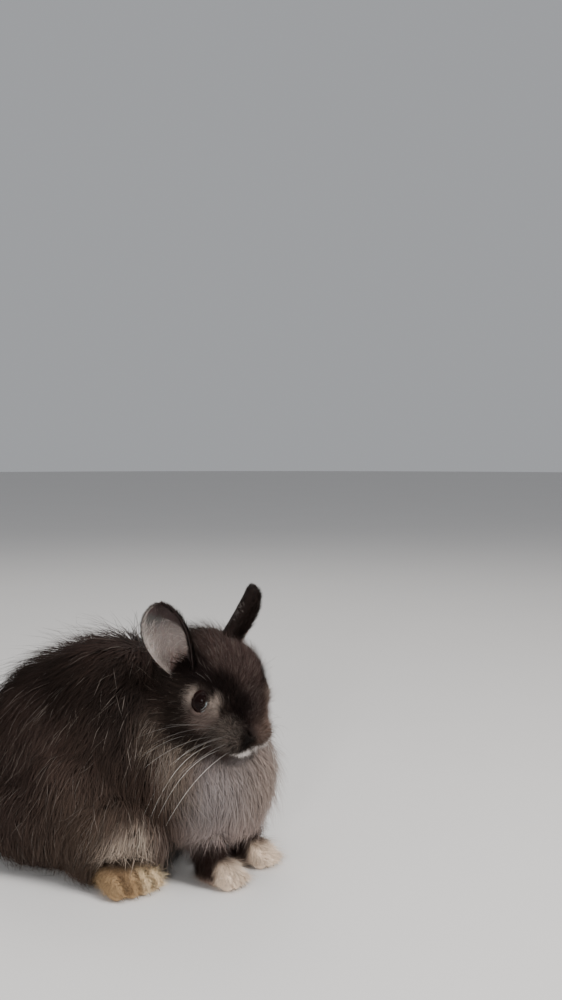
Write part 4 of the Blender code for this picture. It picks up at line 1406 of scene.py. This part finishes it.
# The ruff: thin, long, light hairs that hang loosely behind and below each cheek, over the shoulder's edge.
# They grow in the same skin as the coat and stand off it in separate curved wisps.
RUFF_SPOTS = [((-41, -34, 73), (7, 8, 8)), ((-40, -42, 66), (9, 9, 12)), ((-42, -42, 52), (8, 7, 10))]
RUFF_LIE = np.array((0, 0.75, -0.75))
RUFF_CROWD = 0.38
RUFF_LENGTHS = (9, 17)
RUFF_RISES = (4.0, 7.5)
RUFF_WIDTH = 0.17
RUFF_PALE = (0.30, 0.255, 0.205)
ruff_crowd = np.zeros(len(skin_places))
for middle, radii in RUFF_SPOTS:
    for side in (1, -1):
        there = np.array(middle) * (side, 1, 1)
        ruff_crowd = np.maximum(ruff_crowd, RUFF_CROWD * spot(skin_places, there, radii, 0.6))
ruff = roots_on(skin_ground, ruff_crowd)
count = len(ruff["places"])
ruff["chance"] = chances.random(count)
ruff["lies"] = along_surface(np.tile(RUFF_LIE, (count, 1)), ruff["normals"])
ruff["length"] = chances.uniform(*RUFF_LENGTHS, count)
ruff["rise"] = chances.uniform(*RUFF_RISES, count)
ruff["width"] = np.full(count, RUFF_WIDTH)
ruff["colour"] = np.array(RUFF_PALE) * chances.uniform(0.25, 1.0, (count, 1))
ruff["silver"] = np.zeros(count)
ruff["clump"] = clumped(ruff, 9, 0.35)
stations = tuft_stations(skin_ground, ruff, 3, 0.5, 0.25)
ruff_mesh = tuft_mesh("coat_ruff", ruff, stations, 0.6)
fitted("coat_ruff", ruff_mesh, long_coat, ["chest", "neck"])


# The whiskers: long springy hairs in three rows on each pad and two over each eye, the lowest row palest.
# Each grows from a deep follicle, leaves the pad sideways and bends back and down along the cheek.
WHISKER_STEPS = 12
WHISKER_SIDES = 4
IN_PAD_ROW = 4
# Each row has its height, outward dip, length, thickness, droop and paleness.
PAD_ROWS = [(-4.5, 0.05, 25, 0.11, 0.05, 0.10), (-7.9, -0.20, 31, 0.13, 0.08, 0.25),
            (-11.3, -0.50, 45, 0.18, 0.17, 0.9)]
OVER_EYE = 2
WHISKER_ROOT = (0.03, 0.022, 0.019)
WHISKER_GREY = (0.56, 0.53, 0.49)
WHISKER_WHITE = (0.80, 0.77, 0.72)


def whisker_starts(side):
    """Root, heading, length, thickness, droop and paleness of a side's whiskers, in the head's frame."""
    found = []
    for height, dip, length, thick, droop, pale in PAD_ROWS:
        for place in range(IN_PAD_ROW):
            root = (side * (9.5 + 2.0 * place), -31 + 3.1 * place, height)
            heading = (side * 0.8, 0.25 + 0.15 * place, dip)
            found.append((root, heading, length + 3.5 * place, thick, droop, pale))
    for place in range(OVER_EYE):
        root = (side * (14 + place), -13 + 2.5 * place, 14)
        found.append((root, (side * 0.6, -0.1, 0.6), 11 + 2 * place, 0.12, 0.03, 0.1))
    return found


def tube_faces(first, steps, sides):
    """Faces of a closed tube whose rings of points follow one another from the given first point on."""
    faces = []
    for step in range(steps):
        for corner in range(sides):
            a = first + step * sides + corner
            b = first + step * sides + (corner + 1) % sides
            faces.append((a, b, b + sides, a + sides))
    ends = (reversed(range(sides)), range(steps * sides, (steps + 1) * sides))
    return faces + [tuple(first + corner for corner in end) for end in ends]


def whisker_mesh(side, ground):
    """Tapered tubes, each on a path that droops towards its tip."""
    points, faces, paleness = [], [], []
    turn = np.array(head_matrix.to_3x3())
    for root, heading, length, thick, droop, pale in whisker_starts(side):
        root = carried(np.array([root], float), head_matrix)
        at, up, flow = (value[0] for value in nearest_on(ground, root))
        way = unit(turn @ np.array(heading) + chances.normal(0, 0.07, 3))
        length *= chances.uniform(0.85, 1.15)
        at = at - up * 0.6
        sag = np.array((0, 0.3, -1.0)) * droop * chances.uniform(0.7, 1.3)
        first = len(points)
        for step in range(WHISKER_STEPS + 1):
            share = step / WHISKER_STEPS
            across = unit(np.cross(way, (0.1, 0.2, 1)))
            over = np.cross(across, way)
            radius = thick / 2 * (1 - share) ** 0.7 + 0.02
            for corner in range(WHISKER_SIDES):
                a = math.tau * corner / WHISKER_SIDES
                points.append(at + (across * math.cos(a) + over * math.sin(a)) * radius)
                paleness.append(share * pale)
            at = at + way * (length / WHISKER_STEPS)
            way = unit(way + sag)
        faces += tube_faces(first, WHISKER_STEPS, WHISKER_SIDES)
    mesh = bpy.data.meshes.new("whiskers")
    mesh.from_pydata([tuple(point) for point in points], [], faces)
    store(mesh, "paleness", paleness)
    return mesh


def whisker_material():
    made, tree, shader = new_material("whisker_hair", 0.3)
    share = tree.nodes.new("ShaderNodeMapRange")
    share.inputs["From Max"].default_value = 0.4
    tree.links.new(read(tree, "paleness").outputs["Fac"], share.inputs["Value"])
    pale = mixed(tree, clouds(tree, 300), WHISKER_GREY, WHISKER_WHITE)
    tree.links.new(mixed(tree, share.outputs[0], WHISKER_ROOT, pale), shader.inputs["Base Color"])
    tree.links.new(maths(tree, "MULTIPLY_ADD", clouds(tree, 700), 0.2, 0.35), shader.inputs["Roughness"])
    return made


whisker_hair = whisker_material()
for label, side in SIDES.items():
    mesh = whisker_mesh(side, skin_ground)
    mesh.shade_smooth()
    fitted("whiskers_" + label, mesh, whisker_hair, ["head"])


# The claws: small, dark, curved horn, one at the end of each toe and mostly hidden by its fur.
# Each is a narrow cone, flattened at the sides, that grows out over the toe's pad and bends down.
CLAW_STEPS = 6
CLAW_SIDES = 8
FORE_CLAW = (3.6, 0.8)
HIND_CLAW = (4.4, 0.95)
CLAW_FLATNESS = 0.7
CLAW_DARK = (0.09, 0.062, 0.045)
CLAW_PALE = (0.22, 0.165, 0.125)


def claw_set(places, sizes):
    """Curved cones at the given places of one paw, in the paw's own frame."""
    length, thick = sizes
    points, faces = [], []
    for x, y, z in places:
        first = len(points)
        for step in range(CLAW_STEPS + 1):
            share = step / CLAW_STEPS
            bend = math.radians(12 + 40 * share)
            reach = length * share
            middle = Vector((x, y - reach * math.cos(bend * 0.6), z - reach * math.sin(bend * 0.6)))
            radius = thick * (1 - share) ** 0.8 + 0.06
            for corner in range(CLAW_SIDES):
                a = math.tau * corner / CLAW_SIDES
                up = Vector((0, -math.sin(bend), math.cos(bend))) * math.sin(a) * radius
                points.append(middle + Vector((math.cos(a) * radius * CLAW_FLATNESS, 0, 0)) + up)
        faces += tube_faces(first, CLAW_STEPS, CLAW_SIDES)
    mesh = bpy.data.meshes.new("claws")
    mesh.from_pydata([tuple(point) for point in points], [], faces)
    turn_outwards(mesh)
    return mesh


claw_horn = mottled_material("claw_horn", 0.4, {
    "Scale": 1100, "Detail": 4.0, "Dark": CLAW_DARK, "Pale": CLAW_PALE,
    "Fine Scale": 1600, "Least Roughness": 0.28, "Roughness Spread": 0.2,
})
fore_toes = toe_ends(FORE_TOE_STEP, FORE_TOE_REACH + 2.2, FORE_TOE_BACK, 2.8)
hind_toes = toe_ends(HIND_TOE_STEP, HIND_TOE_REACH + 3.6, HIND_TOE_BACK, 3.0)
for leg, paw_places, toe_places, sizes in (("foreleg", foreleg_places, fore_toes, FORE_CLAW),
                                           ("hindfoot", hindfoot_places, hind_toes, HIND_CLAW)):
    for label, place in zip(SIDES, paw_places):
        mesh = claw_set(toe_places, sizes)
        mesh.transform(place)
        mesh.shade_smooth()
        fitted(f"claws_{leg}_{label}", mesh, claw_horn, [f"{leg}_{label}"])


# The fur of the ears: a dark velvet outside that runs to the tip and stands past the edge as a soft rim,
# and thin pale down inside that leans in from both edges.
def ear_tufts(name, label, values, lies, crowd, stray):
    """One piece of fur on an ear: its tufts' sizes and colours, their lie, their number and their stray."""
    ground = survey(ear_grounds[SIDES[label]][0], lies, values)
    roots = roots_on(ground, crowd)
    roots["chance"] = chances.random(len(roots["places"]))
    roots["clump"] = clumped(roots, 6, 0.2)
    stations = tuft_stations(ground, roots, 1, 0.25, stray)
    name = f"{name}_ear_{label}"
    fitted(name, tuft_mesh(name, roots, stations, 0.4), short_coat, ["ear_" + label])


for label, side in SIDES.items():
    mesh, shares, colours = ear_grounds[side]
    along, across, inside = shares.T
    turn = np.array(ear_matrix(side).to_3x3())
    to_tip = turn @ np.array((0, 0, 1.0))
    over = turn @ np.array((0, 1.0, 0))
    front = smooth_step(0.45, 0.9, -across)
    edge = smooth_step(0.75, 1.0, np.maximum(np.abs(across), along))
    inward = np.outer(-np.sign(across) * 0.8, over) * inside[:, None]
    outward = np.sign(across) * np.abs(across) ** 2 * (0.7 + 0.8 * front)
    outward = np.outer(outward, over) * (1 - inside)[:, None]
    velvet = {
        "length": np.where(inside > 0.5, 2.0 + 1.6 * edge, 3.0 + 1.2 * edge + 2.4 * front),
        "rise": np.where(inside > 0.5, 0.4 + 0.6 * edge, 0.6 + 0.5 * edge + 1.0 * front),
        "width": np.full(len(along), 0.20), "colour": colours, "silver": 0.05 * inside,
    }
    crowd = np.where(inside > 0.5, 2.6 + 4.4 * edge, 6.6) * smooth_step(0.0, 0.1, along)
    ear_tufts("coat", label, velvet, to_tip + inward + outward, crowd, 0.2)
    down = {
        "length": np.full(len(along), 5.0), "rise": np.full(len(along), 1.1),
        "width": np.full(len(along), 0.15), "colour": np.tile(EAR_DOWN, (len(along), 1)),
        "silver": np.zeros(len(along)),
    }
    pale = smooth_step(0.05, 0.10, colours[:, 0]) * inside
    crowd = pale * (0.25 + smooth_step(0.35, 0.75, np.abs(across))) * smooth_step(0.9, 0.7, along)
    ear_tufts("coat_down", label, down, to_tip * 0.5 + np.outer(-np.sign(across), over), 3.0 * crowd, 0.35)
    mesh.transform(to_metres)


# The studio: a plain pale floor that runs far past the frame, a dim even sky, four soft lamps and the
# camera, which looks from the rabbit's right and a little above and holds the rabbit low and left.
FLOOR_PALE = (0.62, 0.61, 0.60)
FLOOR_RADIUS = 6.0
SKY_TINT = (0.86, 0.88, 0.92, 1)
SKY_STRENGTH = 0.45
LAMPS_AIM = Vector((0, 0, 0.07))
VIEW_FROM = (-60.0, 17.5)
VIEW_ALONG = (-65.41, 3.12)
VIEW_DISTANCE = 0.7508


def sky_way(azimuth, elevation):
    """The way from the rabbit to a place round it, in degrees from straight ahead and above the floor."""
    a, e = math.radians(azimuth), math.radians(elevation)
    return Vector((math.sin(a) * math.cos(e), -math.cos(a) * math.cos(e), math.sin(e)))


bm = bmesh.new()
bmesh.ops.create_circle(bm, cap_ends=True, segments=96, radius=FLOOR_RADIUS)
mesh = mesh_from(bm, "studio_floor")
mesh.materials.append(mottled_material("studio_floor", 0.3, {
    "Scale": 6, "Dark": FLOOR_PALE, "Pale": tuple(value * 1.04 for value in FLOOR_PALE),
    "Fine Scale": 14, "Least Roughness": 0.75, "Roughness Spread": 0.1,
}))
studio_floor = added("studio_floor", mesh)
studio_floor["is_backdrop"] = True

world = bpy.data.worlds.new("studio")
world.use_nodes = True
sky = world.node_tree.nodes["Background"]
sky.inputs["Color"].default_value = SKY_TINT
sky.inputs["Strength"].default_value = SKY_STRENGTH
bpy.context.scene.world = world


# Each lamp has its turn and height in degrees, its distance and width in metres, its watts and colour.
LAMPS = {
    "key_lamp": (-14, 36, 1.4, 0.55, 22, (1.0, 0.97, 0.94)),
    "camera_side_lamp": (-70, 14, 1.5, 0.17, 11, (1.0, 0.98, 0.96)),
    "top_lamp": (-40, 74, 1.5, 1.1, 9, (1.0, 0.98, 0.96)),
    "rim_lamp": (120, 45, 1.6, 0.8, 6, (1.0, 0.96, 0.9)),
}
for name, (azimuth, elevation, distance, size, watts, colour) in LAMPS.items():
    light = bpy.data.lights.new(name, "AREA")
    light.shape = "DISK"
    light.size = size
    light.energy = watts
    light.color = colour
    piece = added(name, light)
    way = sky_way(azimuth, elevation)
    piece.location = LAMPS_AIM + way * distance
    piece.rotation_euler = way.to_track_quat("Z", "Y").to_euler()

lens = bpy.data.cameras.new("camera")
lens.lens = 50
lens.sensor_width = 36
camera = added("camera", lens)
camera.location = stand + sky_way(*VIEW_FROM) * VIEW_DISTANCE
camera.rotation_euler = sky_way(*VIEW_ALONG).to_track_quat("Z", "Y").to_euler()
bpy.context.scene.camera = camera

seen_low, seen_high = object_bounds()
sizes = {"solid": [list(solid_low), list(solid_high)], "seen": [list(seen_low), list(seen_high)]}
